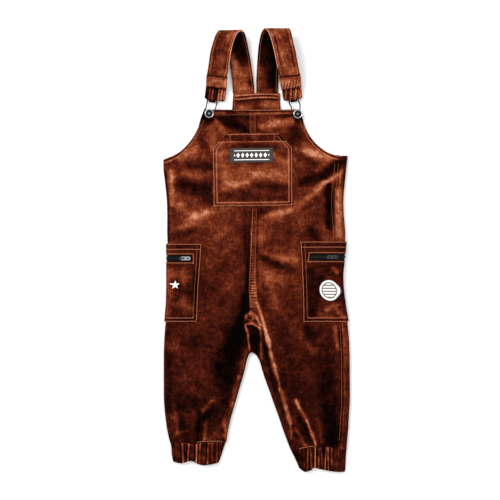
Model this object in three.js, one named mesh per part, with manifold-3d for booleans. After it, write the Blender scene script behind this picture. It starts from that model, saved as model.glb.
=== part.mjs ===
// Toddler overalls in fine rust-brown corduroy, size 92, laid flat on their back, seen from above.
// Millimetres. X runs across the garment, Y from the ankles to the shoulders, Z up from the surface.
// Every body panel is a wall of cloth cut from one skin: a flattened tube with rolled sides, which
// lies on z = 0. A place on the skin is given by y and by a ring coordinate, the distance inwards from
// the outer fold along the top; negative values run inwards underneath.
import * as THREE from "three";
import { mergeVertices } from "three/addons/utils/BufferGeometryUtils.js";
import Module from "manifold-3d";

// Cloth and seams
const CLOTH = 2; // corduroy with its pile and the turnings behind it
const SEAM_GAP = 0.3;
const LAY_GAP = 0.4; // under what is sewn onto a panel
const BIB_GAP = 0.6; // the same under the bib pocket, whose corners span the panels' rows
const POCKET_CLOTH = 1.9;
const TAPE = 1.1;
const LABEL = 0.9;

// The lie of the garment
const LAY_HEIGHT = 7.2; // top of the two layers where nothing lifts them
const LEAST_HEIGHT = 4.9;
const ROLL = 9; // how far a rolled side reaches inwards before it is flat
const ROLL_MIDDLE = 5.6; // height of the outline of a rolled side
const ROLL_LIFT = 3.8; // the top stands this much higher beside a roll
const ROLL_SPREAD = 20;
const BIB_SINK = { depth: 3, beyond: [5, 34], above: [144, 176] }; // where the bib lies beyond the back
const CUFF_HEIGHT = 7.8;
const CUFF_ROLL = 6;

// Levels along the garment
const BIB_TOP = 218.5;
const CHEST = 120;
const CROSS_SEAM = -94.5; // where the front, back and both inner leg seams meet
const CROTCH = { x: -7, y: -158.1 }; // the lowest point of the crotch fold
const ROW_STEP = 16;

// Outer edges of the body and legs, rolled folds
const SIDES = [
  { y: 144, left: -144.9, right: 141.8 },
  { y: 139, left: -144.6, right: 140.7 },
  { y: 124, left: -144.0, right: 139.2 },
  { y: 105, left: -141.8, right: 137.2 },
  { y: 80, left: -139.2, right: 135.0 },
  { y: 55, left: -138.3, right: 135.6 },
  { y: 30, left: -138.4, right: 137.6 },
  { y: 12, left: -138.0, right: 137.4 },
  { y: -10, left: -138.1, right: 135.8 },
  { y: -35, left: -138.0, right: 132.9 },
  { y: -60, left: -138.0, right: 133.5 },
  { y: -85, left: -138.7, right: 136.6 },
  { y: -115, left: -141.2, right: 141.4 },
  { y: -150, left: -143.4, right: 144.2 },
  { y: -200, left: -143.7, right: 144.9 },
  { y: -235, left: -143.4, right: 144.9 },
  { y: -260, left: -141.1, right: 143.4 },
  { y: -280, left: -138.3, right: 142.3 },
  { y: -297, left: -134.7, right: 140.7 },
  { y: -309, left: -132.2, right: 139.7 },
];
// Inner edges of the two legs, from the crotch fold down
const INNER_LEGS = [
  { y: -158.1, left: -7.15, right: -6.85 },
  { y: -161, left: -10.9, right: -2.3 },
  { y: -166, left: -13.2, right: 1.6 },
  { y: -174, left: -15.5, right: 5.4 },
  { y: -185, left: -17.8, right: 8.5 },
  { y: -200, left: -22.0, right: 13.2 },
  { y: -220, left: -27.9, right: 20.6 },
  { y: -240, left: -33.6, right: 27.6 },
  { y: -260, left: -39.5, right: 34.9 },
  { y: -280, left: -43.9, right: 41.5 },
  { y: -297, left: -46.4, right: 48.2 },
  { y: -309, left: -49.6, right: 53.2 },
];
// Front edge of each front panel: the centre seam, then the inner leg seam as it lies on the top
const CENTRE_SEAM = [
  { y: 218.5, x: -6.2 },
  { y: 178, x: -5.4 },
  { y: 67, x: -4.6 },
  { y: -15, x: -5.0 },
  { y: -60, x: -5.4 },
  { y: -94.5, x: -4.7 },
  { y: -158.1, x: -7.0 },
];
const LEG_SEAMS = [
  { y: -94.5, left: -4.9, right: -4.5 },
  { y: -105, left: -12.4, right: 4.6 },
  { y: -118, left: -16.3, right: 10.5 },
  { y: -135, left: -14.8, right: 16.0 },
  { y: -150, left: -13.4, right: 18.8 },
  { y: -158.1, left: -12.6, right: 20.4 },
  { y: -166, left: -14.4, right: 22.6 },
  { y: -185, left: -18.9, right: 28.1 },
  { y: -200, left: -23.1, right: 32.6 },
  { y: -220, left: -29.0, right: 37.4 },
  { y: -240, left: -34.7, right: 43.4 },
  { y: -260, left: -40.6, right: 50.2 },
  { y: -280, left: -45.0, right: 56.4 },
  { y: -297, left: -47.5, right: 61.2 },
  { y: -309, left: -50.7, right: 65.1 },
];
// Top edge of the front: armholes, from the armpit up to the corner of the bib
const LEFT_ARMHOLE = [
  { x: -144.3, y: 139.5 },
  { x: -134, y: 143.6 },
  { x: -128.7, y: 146.4 },
  { x: -119.4, y: 152 },
  { x: -107.7, y: 163 },
  { x: -98.7, y: 175 },
  { x: -90.7, y: 190 },
  { x: -86.5, y: 205 },
  { x: -81.4, y: BIB_TOP },
];
const RIGHT_ARMHOLE = [
  { x: 141.4, y: 144 },
  { x: 132, y: 145 },
  { x: 122, y: 147 },
  { x: 108.5, y: 152.5 },
  { x: 93.8, y: 163.6 },
  { x: 83.9, y: 175.5 },
  { x: 76.1, y: 190 },
  { x: 71.5, y: 205 },
  { x: 68.6, y: BIB_TOP },
];
// The single back piece above the waist seam, from the waist up to the straps
const BACK_BIB = [
  { y: 143.2, left: -134, right: 131 },
  { y: 148, left: -108, right: 106 },
  { y: 158, left: -83, right: 81 },
  { y: 172, left: -61, right: 60 },
  { y: 188, left: -47, right: 46 },
  { y: 205, left: -39.5, right: 39.5 },
  { y: 225, left: -37.4, right: 37.2 },
  { y: 243.5, left: -36.2, right: 36.2 },
];

// The largest folds on the top: soft ridges, and troughs where the height is negative
const FOLDS = [
  { x0: 108, y0: 99, x1: 109, y1: 38, width: 7.5, height: -3.2 },
  { x0: 74, y0: 58, x1: 119, y1: 111, width: 9, height: 2.8 },
  { x0: 78, y0: 92, x1: 126, y1: 128, width: 9, height: -2 },
  { x0: -126, y0: 130, x1: -127, y1: 72, width: 8, height: 1.8 },
  { x0: -112, y0: 102, x1: -86, y1: 78, width: 13, height: -1.8 },
  { x0: -132, y0: 22, x1: -64, y1: 70, width: 12, height: 1.5 },
  { x0: 10, y0: -18, x1: 58, y1: -28, width: 8, height: -1.9 },
  { x0: 2, y0: -40, x1: 34, y1: -66, width: 9, height: 1.5 },
  { x0: -19, y0: -108, x1: -32, y1: -172, width: 8.5, height: -4.2 },
  { x0: -32, y0: -172, x1: -46, y1: -236, width: 9, height: -2 },
  { x0: -18, y0: -150, x1: -38, y1: -248, width: 6, height: 1.6 },
  { x0: -5, y0: -118, x1: -7, y1: -156, width: 6, height: -4.4 },
  { x0: -15, y0: -107, x1: -8, y1: -98, width: 6, height: 1.8 },
  { x0: -8, y0: -98, x1: 8, y1: -114, width: 6, height: 1.8 },
  { x0: 12, y0: -116, x1: 30, y1: -186, width: 6, height: 2.2 },
  { x0: 30, y0: -186, x1: 54, y1: -270, width: 6, height: 1.8 },
  { x0: 63, y0: -238, x1: 92, y1: -298, width: 7, height: 3 },
  { x0: 101, y0: -222, x1: 114, y1: -300, width: 10, height: -3 },
  { x0: 120, y0: -140, x1: 123, y1: -250, width: 7, height: -2 },
  { x0: -89, y0: -254, x1: -92, y1: -298, width: 7, height: -2.4 },
  { x0: -76, y0: -246, x1: -78, y1: -298, width: 5, height: 1.8 },
  { x0: -108, y0: -270, x1: -108, y1: -298, width: 5, height: 1.6 },
  { x0: -58, y0: 204, x1: -20, y1: 189, width: 9, height: -1.2 },
];

// Cuffs: elastic casings. The outline follows the leg in, and the lower edge dips in two lobes.
const CUFFS = {
  left: {
    top: -299,
    foot: -328.2,
    dip: 2.6,
    edges: [
      { y: -299, left: -133.6, right: -47.4 },
      { y: -308, left: -132.3, right: -50.4 },
      { y: -318, left: -131.8, right: -53.4 },
      { y: -329, left: -129.9, right: -58.0 },
    ],
  },
  right: {
    top: -309,
    foot: -340.6,
    dip: 3,
    edges: [
      { y: -309, left: 53.6, right: 139.5 },
      { y: -318, left: 56.0, right: 139.0 },
      { y: -328, left: 59.4, right: 138.6 },
      { y: -341, left: 65.0, right: 137.2 },
    ],
  },
};
const GATHERS = 11; // waves across one cuff
const GATHER_HEIGHT = 1.15;
const GATHER_DRIFT = [
  // the waves' spacing wanders by these
  { share: 0.22, rate: 17 },
  { share: 0.15, rate: 31 },
];
const LOBES = { middle: 0.42, rate: 1.7 }; // of the lower edge

// Straps, from the back bib over the top of the loop to the buckle: the middle of the band, half of
// its width, and the height of its middle above the surface. lean is how far the right edge lies above
// the left one, as a share of the width.
const STRAP_CLOTH = 2.4;
const STRAPS = {
  left: [
    { x: -20, y: 243.9, z: 1.5, half: 16.8, lean: 0 },
    { x: -20.4, y: 252, z: 1.8, half: 16.8, lean: 0.01 },
    { x: -21.4, y: 264, z: 2.4, half: 16.7, lean: 0.02 },
    { x: -24.2, y: 286, z: 4.2, half: 16.5, lean: 0.03 },
    { x: -28, y: 307, z: 7, half: 16.5, lean: 0.05 },
    { x: -31.6, y: 323, z: 10, half: 16.7, lean: 0.09 },
    { x: -35.4, y: 334.6, z: 14, half: 17, lean: 0.13 },
    { x: -40.2, y: 338.2, z: 19, half: 16.7, lean: 0.15 },
    { x: -45, y: 334, z: 23, half: 16.2, lean: 0.1 },
    { x: -50.8, y: 321, z: 25, half: 15.6, lean: -0.02 },
    { x: -55.2, y: 304, z: 24.2, half: 15.8, lean: -0.12 },
    { x: -58.2, y: 284, z: 20.5, half: 15.8, lean: -0.15 },
    { x: -61.2, y: 268, z: 14.4, half: 15.4, lean: -0.12 },
    { x: -61.9, y: 254.4, z: 8.6, half: 15.4, lean: -0.02 },
  ],
  right: [
    { x: 16.4, y: 243.9, z: 1.5, half: 16.9, lean: 0 },
    { x: 16.4, y: 252, z: 1.8, half: 16.9, lean: 0 },
    { x: 16.6, y: 264, z: 2.6, half: 17, lean: -0.01 },
    { x: 17.9, y: 286, z: 4.6, half: 17, lean: -0.02 },
    { x: 19.6, y: 307, z: 7.4, half: 17.2, lean: -0.02 },
    { x: 22, y: 323, z: 11, half: 17.6, lean: -0.02 },
    { x: 26, y: 335.8, z: 15.5, half: 18.2, lean: 0.01 },
    { x: 30.6, y: 340.6, z: 20.5, half: 18.8, lean: 0.03 },
    { x: 34.6, y: 337, z: 25, half: 18, lean: 0.04 },
    { x: 38.6, y: 325, z: 27, half: 16.6, lean: 0.08 },
    { x: 43.4, y: 306, z: 26, half: 16.3, lean: 0.16 },
    { x: 47.6, y: 286, z: 21.5, half: 16, lean: 0.18 },
    { x: 51.6, y: 268, z: 14.8, half: 15.8, lean: 0.13 },
    { x: 53.6, y: 253.2, z: 8.6, half: 15.2, lean: 0.02 },
  ],
};
const STRAP_SECTIONS = 28;

// Gathered end of each strap and its keeper: turn in plan, and place of the tab that holds the buckle
const STRAP_ENDS = {
  left: { turn: -0.13, half: 15.6, length: 25, tabColumn: -3 },
  right: { turn: 0.15, half: 14.8, length: 22.8, tabColumn: 1 },
};
const END_START = 1.2; // clear of the strap, which comes down at a slope
const END_BEND = 2.3; // radius of the tab's bend round the bar, to its middle
const END_CLOTH = 1.8;
const TAB_UNDER = 7; // length of the tab that is turned under
const END_WAVES = 5;
const END_WAVE_HEIGHT = 0.9;
const KEEPER_CLOTH = 1.6;
const KEEPER_SHARES = [0.91, 0.94, 0.97, 0.998]; // of the way along the strap
const KEEPER_HALF = 1.04; // of half the strap's width

// Brace buckles and tack buttons
const WIRE = 1.0; // radius
const WIRE_SECTIONS = 38;
const BAR_HALF = 7.4;
const BAR_ROUND = 1.2; // how far the wire runs from the bar into the loop's arms
const ARM = { out: 5.4, rise: 1.5 };
const WIRE_RISE = 2.3; // of the loop above the button's base, clear below its head
const WIRE_BENDS = {
  // from the button's middle, from the arm on the right round under the head to the arm on the left
  left: [
    { x: 10.4, y: 11.4, z: -0.5 },
    { x: 8.2, y: 5.4, z: 0 },
    { x: 4.6, y: -1.2, z: 0 },
    { x: 0, y: -4.4, z: 0 },
    { x: -4.4, y: -1.2, z: 0 },
    { x: -7.4, y: 4.4, z: 0 },
    { x: -5, y: 10, z: -0.3 },
  ],
  right: [
    { x: 3.6, y: 14.2, z: -0.6 },
    { x: 3.6, y: 7.6, z: 0 },
    { x: 4.4, y: 0.8, z: 0 },
    { x: 0, y: -4.4, z: 0 },
    { x: -4.6, y: -1.2, z: 0 },
    { x: -9.2, y: 5.4, z: 0 },
    { x: -10.4, y: 12, z: -0.6 },
  ],
};
const BUTTON_HEAD = 6.9;
const BUTTON_SIDES = 18;
const BUTTONS = { left: { x: -73.2, y: 211.4 }, right: { x: 63.9, y: 210.6 } };
const BUTTON_PROFILE = [
  { r: 0, z: 0 },
  { r: 4.2, z: 0 },
  { r: 4.2, z: 0.8 },
  { r: 2.3, z: 1.0 },
  { r: 2.3, z: 4.2 },
  { r: 6.2, z: 4.2 },
  { r: BUTTON_HEAD, z: 4.8 },
  { r: 6.7, z: 6.2 },
  { r: 6.0, z: 6.8 },
  { r: 5.2, z: 6.6 },
  { r: 4.7, z: 5.8 },
  { r: 0, z: 6.0 },
];

// Bib pocket, in its own turned frame: width, height and cut-off corners
const BIB_POCKET = { x: -5.2, y: 68, width: 124, height: 113, cornerX: 20, cornerY: 23, turn: 0.014 };
const LABEL_SIZE = { width: 66, height: 23, above: 67.5, along: -1.2 }; // lower edge above the pocket's

// Cargo pockets, centred on the side seams and folded round the sides with them
const CARGO = { half: 58, foot: -111.5, slotInset: 12.5, slotHeight: 9.6 };
const CARGO_TOPS = { left: 10, right: 13.5 };
const CARGO_EDGES = [
  // their inner edges on the front, against y
  { y: 12, left: -84.8, right: 67.8 },
  { y: -35, left: -87.8, right: 70.4 },
  { y: -70, left: -90.2, right: 71.6 },
  { y: -112, left: -91.6, right: 72.4 },
];
const SLOT_MIDDLE = { left: -13, right: -11 };
const SLOT_ENDS = { left: 38.2, right: 52.5 }; // ring coordinate of the slot's inner end
const RISE_MARGIN = 12; // the back is lifted off the surface this far round a pocket

// Zip sliders and pull tabs: distance of the slider inwards from the outer fold, and slope of the tab
const SLIDERS = { left: { ring: 22, slope: -0.12 }, right: { ring: 13, slope: -0.12 } };
const SLIDER = { half: 3.6, width: 6.4, height: 1.8, tail: 1.2, nose: 2, noseCut: 1.6, bevel: 0.3, above: 0.2 };
const BRIDGE = { half: 3.1, width: 1.5, wall: 0.7, height: 2.7, shoulder: 1, inner: 1.3, root: 0.4 };
const PULL = { bar: 0.5, start: 4.5, length: 13.5, width: 5.4, thick: 1, eye: 2.2, height: 2.9 };
const PULL_SHAPE = { corner: 0.3, round: 2.2, play: 0.3, windowStart: 3, windowEnd: 2, windowHalf: 1.1 };

// Helpers: smooth curves through a table's rows

function smooth(rows, key, value) {
  const sorted = [...rows].sort((a, b) => a[key] - b[key]);
  const slope = (i) => {
    const a = sorted[Math.max(i - 1, 0)];
    const b = sorted[Math.min(i + 1, sorted.length - 1)];
    return (b[value] - a[value]) / (b[key] - a[key]);
  };
  return (t) => {
    let i = sorted.findIndex((row) => row[key] > t) - 1;
    if (i === -2) i = sorted.length - 2;
    i = Math.max(i, 0);
    const [a, b] = [sorted[i], sorted[i + 1]];
    const span = b[key] - a[key];
    const u = THREE.MathUtils.clamp((t - a[key]) / span, 0, 1);
    const [m0, m1] = [slope(i) * span, slope(i + 1) * span];
    const rise = b[value] - a[value];
    return a[value] + m0 * u + (3 * rise - 2 * m0 - m1) * u * u + (m0 + m1 - 2 * rise) * u ** 3;
  };
}

const bump = (distance, width) => Math.exp(-((distance / width) ** 2));

function segmentDistance(x, y, s) {
  const [dx, dy] = [s.x1 - s.x0, s.y1 - s.y0];
  const t = THREE.MathUtils.clamp(((x - s.x0) * dx + (y - s.y0) * dy) / (dx * dx + dy * dy), 0, 1);
  return Math.hypot(x - s.x0 - t * dx, y - s.y0 - t * dy);
}

// The two halves of the garment. inward is the direction from the outer fold to the middle, and seam
// the ring coordinate of the side seam: the garment lies turned a little, so that the right one shows.
const HALVES = {
  left: { side: "left", inward: 1, seam: -3, armhole: LEFT_ARMHOLE },
  right: { side: "right", inward: -1, seam: 10, armhole: RIGHT_ARMHOLE },
};
for (const half of Object.values(HALVES)) {
  half.outer = smooth(SIDES, "y", half.side);
  half.inner = smooth(INNER_LEGS, "y", half.side);
  half.legSeam = smooth(LEG_SEAMS, "y", half.side);
  half.cuff = CUFFS[half.side];
  half.pocketTop = CARGO_TOPS[half.side];
  half.hem = half.cuff.top;
}
const centreSeam = smooth(CENTRE_SEAM, "y", "x");
const backLeft = smooth(BACK_BIB, "y", "left");
const backRight = smooth(BACK_BIB, "y", "right");

// The rolled sides: how far in and how high a ring coordinate lies, and the ring coordinate of a reach
const QUARTER = Math.PI / 2;
const reachOf = (ring, roll = ROLL) => (ring < roll ? roll * (1 - Math.cos((ring / roll) * QUARTER)) : ring);
const liftOf = (ring, roll = ROLL) => (ring < roll ? Math.sin((ring / roll) * QUARTER) : 1);
function ringOf(reach) {
  return reach < ROLL ? (ROLL / QUARTER) * Math.acos(1 - Math.max(reach, 0) / ROLL) : reach;
}

// How far the back is lifted off the surface by the part of a cargo pocket that lies under it
function pocketRise(half, y, ring) {
  const past = Math.max(
    half.seam - CARGO.half - ring,
    ring - half.seam - CARGO.half,
    y - half.pocketTop,
    CARGO.foot - y,
    0,
  );
  return (POCKET_CLOTH + LAY_GAP) * (1 - THREE.MathUtils.smoothstep(past, 1, RISE_MARGIN));
}

// Height of the top of the body and legs
function topHeight(half, x, y, edge) {
  let height = LAY_HEIGHT + ROLL_LIFT * bump(edge, ROLL_SPREAD);
  for (const fold of FOLDS) height += fold.height * bump(segmentDistance(x, y, fold), fold.width);
  // The bib sinks to the surface where it lies beyond the back
  const beyond = Math.max(backLeft(y) - x, x - backRight(y));
  const { smoothstep } = THREE.MathUtils;
  const free = smoothstep(beyond, ...BIB_SINK.beyond) * smoothstep(y, ...BIB_SINK.above);
  height = Math.max(height, LEAST_HEIGHT) - BIB_SINK.depth * free;
  return height;
}

// A point of the skin
function skin(half, y, ring) {
  const outer = half.outer(y);
  const onLeg = y < CROTCH.y;
  const width = onLeg ? Math.abs(half.inner(y) - outer) : Infinity;
  if (ring > width) ring -= 2 * width;
  if (ring < -width) ring += 2 * width;
  const under = ring < 0;
  const along = Math.abs(ring);
  const fromInner = width - along;
  const nearInner = fromInner < along;
  const reach = nearInner ? width - reachOf(fromInner) : reachOf(along);
  let lift = nearInner ? liftOf(fromInner) : liftOf(along);
  const x = outer + half.inward * reach;
  const apex = CROTCH.x - (half.inward * SEAM_GAP) / 2;
  if (!onLeg) lift *= liftOf(ringOf(Math.hypot(x - apex, y - CROTCH.y)));
  const other = HALVES[half.side === "left" ? "right" : "left"];
  const across = onLeg ? width - reach : Math.abs(other.outer(y) - x);
  const edge = Math.min(reach, across);
  const rise = pocketRise(half, y, ring);
  const flat = under ? rise : topHeight(half, x, y, edge) + rise;
  return new THREE.Vector3(x, y, ROLL_MIDDLE + (flat - ROLL_MIDDLE) * lift);
}

// A point of a cuff: the same rolled tube, gathered along its top
function cuffSkin(half, y, ring) {
  const { edges, top, foot, dip } = half.cuff;
  const left = smooth(edges, "y", "left")(y);
  const right = smooth(edges, "y", "right")(y);
  const width = right - left;
  if (ring > width) ring -= 2 * width;
  if (ring < -width) ring += 2 * width;
  const under = ring < 0;
  const along = Math.abs(ring);
  const fromInner = width - along;
  const nearInner = fromInner < along;
  const reach = nearInner ? width - reachOf(fromInner, CUFF_ROLL) : reachOf(along, CUFF_ROLL);
  const lift = nearInner ? liftOf(fromInner, CUFF_ROLL) : liftOf(along, CUFF_ROLL);
  const x = (half.side === "left" ? left : right) + half.inward * reach;
  const share = (x - left) / width;
  let phase = share * GATHERS;
  for (const drift of GATHER_DRIFT) phase += drift.share * Math.sin(share * drift.rate);
  const wave = Math.cos(phase * 2 * Math.PI);
  const down = (top - y) / (top - foot);
  const lobes = dip * Math.abs(Math.cos((share - LOBES.middle) * LOBES.rate * Math.PI)) - dip;
  const flat = under ? 0 : CUFF_HEIGHT + GATHER_HEIGHT * wave * (0.55 + 0.45 * down);
  const drop = down * down * (-lobes + 0.35 * wave);
  return new THREE.Vector3(x, y + drop, CUFF_HEIGHT / 2 + (flat - CUFF_HEIGHT / 2) * lift);
}

// Ring coordinates of the inner limit of the skin and of the seam that ends a front panel
function innerRing(half, y) {
  const inner = y < CROTCH.y ? half.inner(y) : centreSeam(y) - (half.inward * SEAM_GAP) / 2;
  return Math.abs(inner - half.outer(y));
}
function seamRing(half, y) {
  if (y >= CROSS_SEAM) return innerRing(half, y);
  const fromOuter = Math.abs(half.legSeam(y) - half.outer(y));
  if (y >= CROTCH.y) return fromOuter;
  const width = innerRing(half, y);
  return width - ringOf(width - fromOuter);
}

// Helpers: patches of a skin, and cloth made from them

// The quads between rows and columns of points
function quadsOf(rows, columns, flip, keep = () => true) {
  const quads = [];
  for (let j = 0; j + 1 < rows; j++) {
    for (let i = 0; i + 1 < columns; i++) {
      if (!keep(j, i)) continue;
      const [a, b] = [j * columns + i, (j + 1) * columns + i];
      quads.push(flip ? [a, a + 1, b + 1, b] : [a, b, b + 1, a + 1]);
    }
  }
  return quads;
}

// A grid of points of a skin with their outward normals. place(row, column) gives { y, ring }, rows
// running down the garment and columns inwards.
const STEP = 0.05;
function pointOn(half, surface, y, ring) {
  const below = y >= CROTCH.y ? Math.max(y - STEP, CROTCH.y) : y - STEP;
  const across = surface(half, y, ring + STEP).sub(surface(half, y, ring - STEP));
  const up = surface(half, y + STEP, ring).sub(surface(half, below, ring));
  const normal = across.cross(up).multiplyScalar(half.inward).normalize();
  return { at: surface(half, y, ring), normal };
}
function patch(half, surface, rows, columns, place, keep) {
  const points = [];
  for (let j = 0; j < rows; j++) {
    for (let i = 0; i < columns; i++) {
      const { y, ring } = place(j, i);
      points.push(pointOn(half, surface, y, ring));
    }
  }
  return { points, quads: quadsOf(rows, columns, half.inward < 0, keep) };
}

// A closed wall over one or more patches that share edges. inside and outside are the distances of its
// two faces from the patch, along the normals.
function cloth(patches, inside, outside) {
  const ids = new Map();
  const points = [];
  const quads = [];
  for (const one of patches) {
    const index = one.points.map((point) => {
      const key = point.at.toArray().map((v) => Math.round(v * 200)).join(" ");
      if (!ids.has(key)) ids.set(key, points.push(point) - 1);
      return ids.get(key);
    });
    for (const quad of one.quads) quads.push(quad.map((i) => index[i]));
  }
  const count = points.length;
  const positions = [];
  for (const offset of [outside, inside]) {
    for (const { at, normal } of points) positions.push(...at.clone().addScaledVector(normal, offset));
  }
  const whole = ([a, b, c]) => a !== b && b !== c && c !== a;
  const triangles = quads.flatMap(([a, b, c, d]) => [[a, b, c], [a, c, d]]).filter(whole);
  const edges = new Set(triangles.flatMap(([a, b, c]) => [`${a} ${b}`, `${b} ${c}`, `${c} ${a}`]));
  const faces = [];
  for (const [a, b, c] of triangles) {
    faces.push(a, b, c, c + count, b + count, a + count);
    for (const [p, q] of [[a, b], [b, c], [c, a]]) {
      if (!edges.has(`${q} ${p}`)) faces.push(q, p, p + count, q, p + count, q + count);
    }
  }
  const used = [...new Set(faces)].sort((a, b) => a - b);
  const renumber = new Map(used.map((old, i) => [old, i]));
  const kept = used.flatMap((old) => positions.slice(old * 3, old * 3 + 3));
  return geometryOf(kept, faces.map((old) => renumber.get(old)));
}

// A geometry from positions and faces, turned the right way out
function geometryOf(positions, faces) {
  let volume = 0;
  const corner = (i) => new THREE.Vector3(...positions.slice(i * 3, i * 3 + 3));
  for (let f = 0; f < faces.length; f += 3) {
    volume += corner(faces[f]).dot(corner(faces[f + 1]).cross(corner(faces[f + 2])));
  }
  const geometry = new THREE.BufferGeometry();
  geometry.setAttribute("position", new THREE.Float32BufferAttribute(positions, 3));
  geometry.setIndex(volume > 0 ? faces : [...faces].reverse());
  geometry.computeVertexNormals();
  return geometry;
}

// Levels from one height to another, through the given ones, no more than a step apart
function levels(through, step) {
  const list = [through[0]];
  for (let k = 1; k < through.length; k++) {
    const [from, to] = [through[k - 1], through[k]];
    const parts = Math.max(1, Math.ceil(Math.abs(to - from) / step - 0.01));
    for (let i = 1; i <= parts; i++) list.push(from + ((to - from) * i) / parts);
  }
  return list;
}

const mix = THREE.MathUtils.lerp;

// Materials
function finish(color, roughness, metalness = 0) {
  return new THREE.MeshStandardMaterial({ color, roughness, metalness });
}
const corduroy = finish(0x5a1f10, 0.9);
const darkMetal = finish(0x3a3a3c, 0.35, 1);
const brightMetal = finish(0xc9c9c6, 0.25, 1);
const zipTape = finish(0x0c0d0d, 0.7);
const wovenLabel = finish(0x2c2b2a, 0.8);

const overalls = new THREE.Group();
function add(name, geometry, material) {
  const mesh = new THREE.Mesh(geometry, material);
  mesh.name = name;
  overalls.add(mesh);
}

// Rows and ring columns that the panels share with the cargo pockets sewn on them
const POCKET_END = CARGO.foot - RISE_MARGIN;
for (const half of Object.values(HALVES)) {
  half.pocketEdge = smooth(CARGO_EDGES, "y", half.side);
  half.slotTop = SLOT_MIDDLE[half.side] + CARGO.slotHeight / 2;
  half.slotFoot = SLOT_MIDDLE[half.side] - CARGO.slotHeight / 2;
  half.pocketIn = (y) => Math.abs(half.pocketEdge(y) - half.outer(y));
  half.pocketUnder = half.seam - CARGO.half;
  half.slotIn = SLOT_ENDS[half.side];
  half.slotUnder = half.pocketUnder + CARGO.slotInset;
  half.pocketRows = levels([half.pocketTop, half.slotTop, half.slotFoot, CROSS_SEAM, CARGO.foot], ROW_STEP);
  const legRows = levels([CARGO.foot, POCKET_END, CROTCH.y, -190, half.hem + SEAM_GAP], ROW_STEP);
  const chestRows = levels([CHEST, half.pocketTop + RISE_MARGIN, half.pocketTop], ROW_STEP);
  half.rows = [...chestRows, ...half.pocketRows.slice(1), ...legRows.slice(1)];
  const roll = [-ROLL, -6, -3, 0, 3, 6, ROLL];
  const before = roll.filter((ring) => ring < half.seam - 1);
  const after = roll.filter((ring) => ring > half.seam + 1);
  half.frontRings = levels([after.pop() ?? half.seam, half.slotIn], 15);
  if (half.seam < ROLL) half.frontRings.unshift(...after);
  half.backRings = [...levels([half.slotUnder, before.shift()], 21), ...before];
  half.pocketRings = [half.pocketUnder, ...half.backRings];
  if (half.seam < ROLL) half.pocketRings.push(half.seam, ...half.frontRings);
  else half.pocketRings.push(...half.frontRings);
}

// Below the pockets the columns draw together as the leg narrows
function drawnIn(ring, width, widthAtPocket) {
  const share = (width - 2 * ROLL) / (widthAtPocket - 2 * ROLL);
  if (ring > ROLL) return ROLL + (ring - ROLL) * share;
  if (ring < -ROLL) return -ROLL + (ring + ROLL) * share;
  return ring;
}

// Front panels: from the bib and armhole down to the cuff
const FAN_ROWS = 6;
const FRONT_MIDDLE = 6;
const COLUMN_SPREAD = 8; // the columns beside a pocket's edge draw apart by this
function frontPanel(half) {
  const armhole = smooth(half.armhole, "x", "y");
  const cornerX = half.armhole[half.armhole.length - 1].x;
  const outerAtChest = half.outer(CHEST);
  const corner = Math.abs(cornerX - outerAtChest);
  const start = half.seam + SEAM_GAP / 2;
  const outerRings = half.seam < ROLL ? [start, ...half.frontRings] : [start, ...half.frontRings.slice(1)];
  const columns = outerRings.length + 2 + FRONT_MIDDLE;
  const atPocket = seamRing(half, POCKET_END);
  const ringAt = (y, i) => {
    const last = seamRing(half, y) - SEAM_GAP / 2;
    const draw = (ring) => (y < POCKET_END ? drawnIn(ring, last, atPocket) : ring);
    if (i < outerRings.length) return draw(outerRings[i]);
    const above = THREE.MathUtils.smoothstep(y, half.pocketTop, CHEST);
    const edge = half.pocketIn(Math.max(y, CARGO.foot)) - COLUMN_SPREAD * above;
    if (i === outerRings.length) return draw(edge);
    const second = corner + COLUMN_SPREAD * (1 - above);
    return mix(draw(second), last, (i - outerRings.length - 1) / FRONT_MIDDLE);
  };
  const place = (j, i) => {
    if (j >= FAN_ROWS) {
      const y = half.rows[j - FAN_ROWS];
      return { y, ring: ringAt(y, i) };
    }
    const ring = ringAt(CHEST, i);
    const x = outerAtChest + half.inward * reachOf(Math.abs(ring));
    const top = i > outerRings.length ? BIB_TOP : armhole(x);
    const y = mix(top, CHEST, j / FAN_ROWS);
    if (i === columns - 1) return { y, ring: seamRing(half, y) - SEAM_GAP / 2 };
    if (ring < ROLL + 2) return { y, ring };
    return { y, ring: ringOf(Math.abs(x - half.outer(y))) };
  };
  return cloth([patch(half, skin, FAN_ROWS + half.rows.length, columns, place)], -CLOTH, 0);
}

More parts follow.
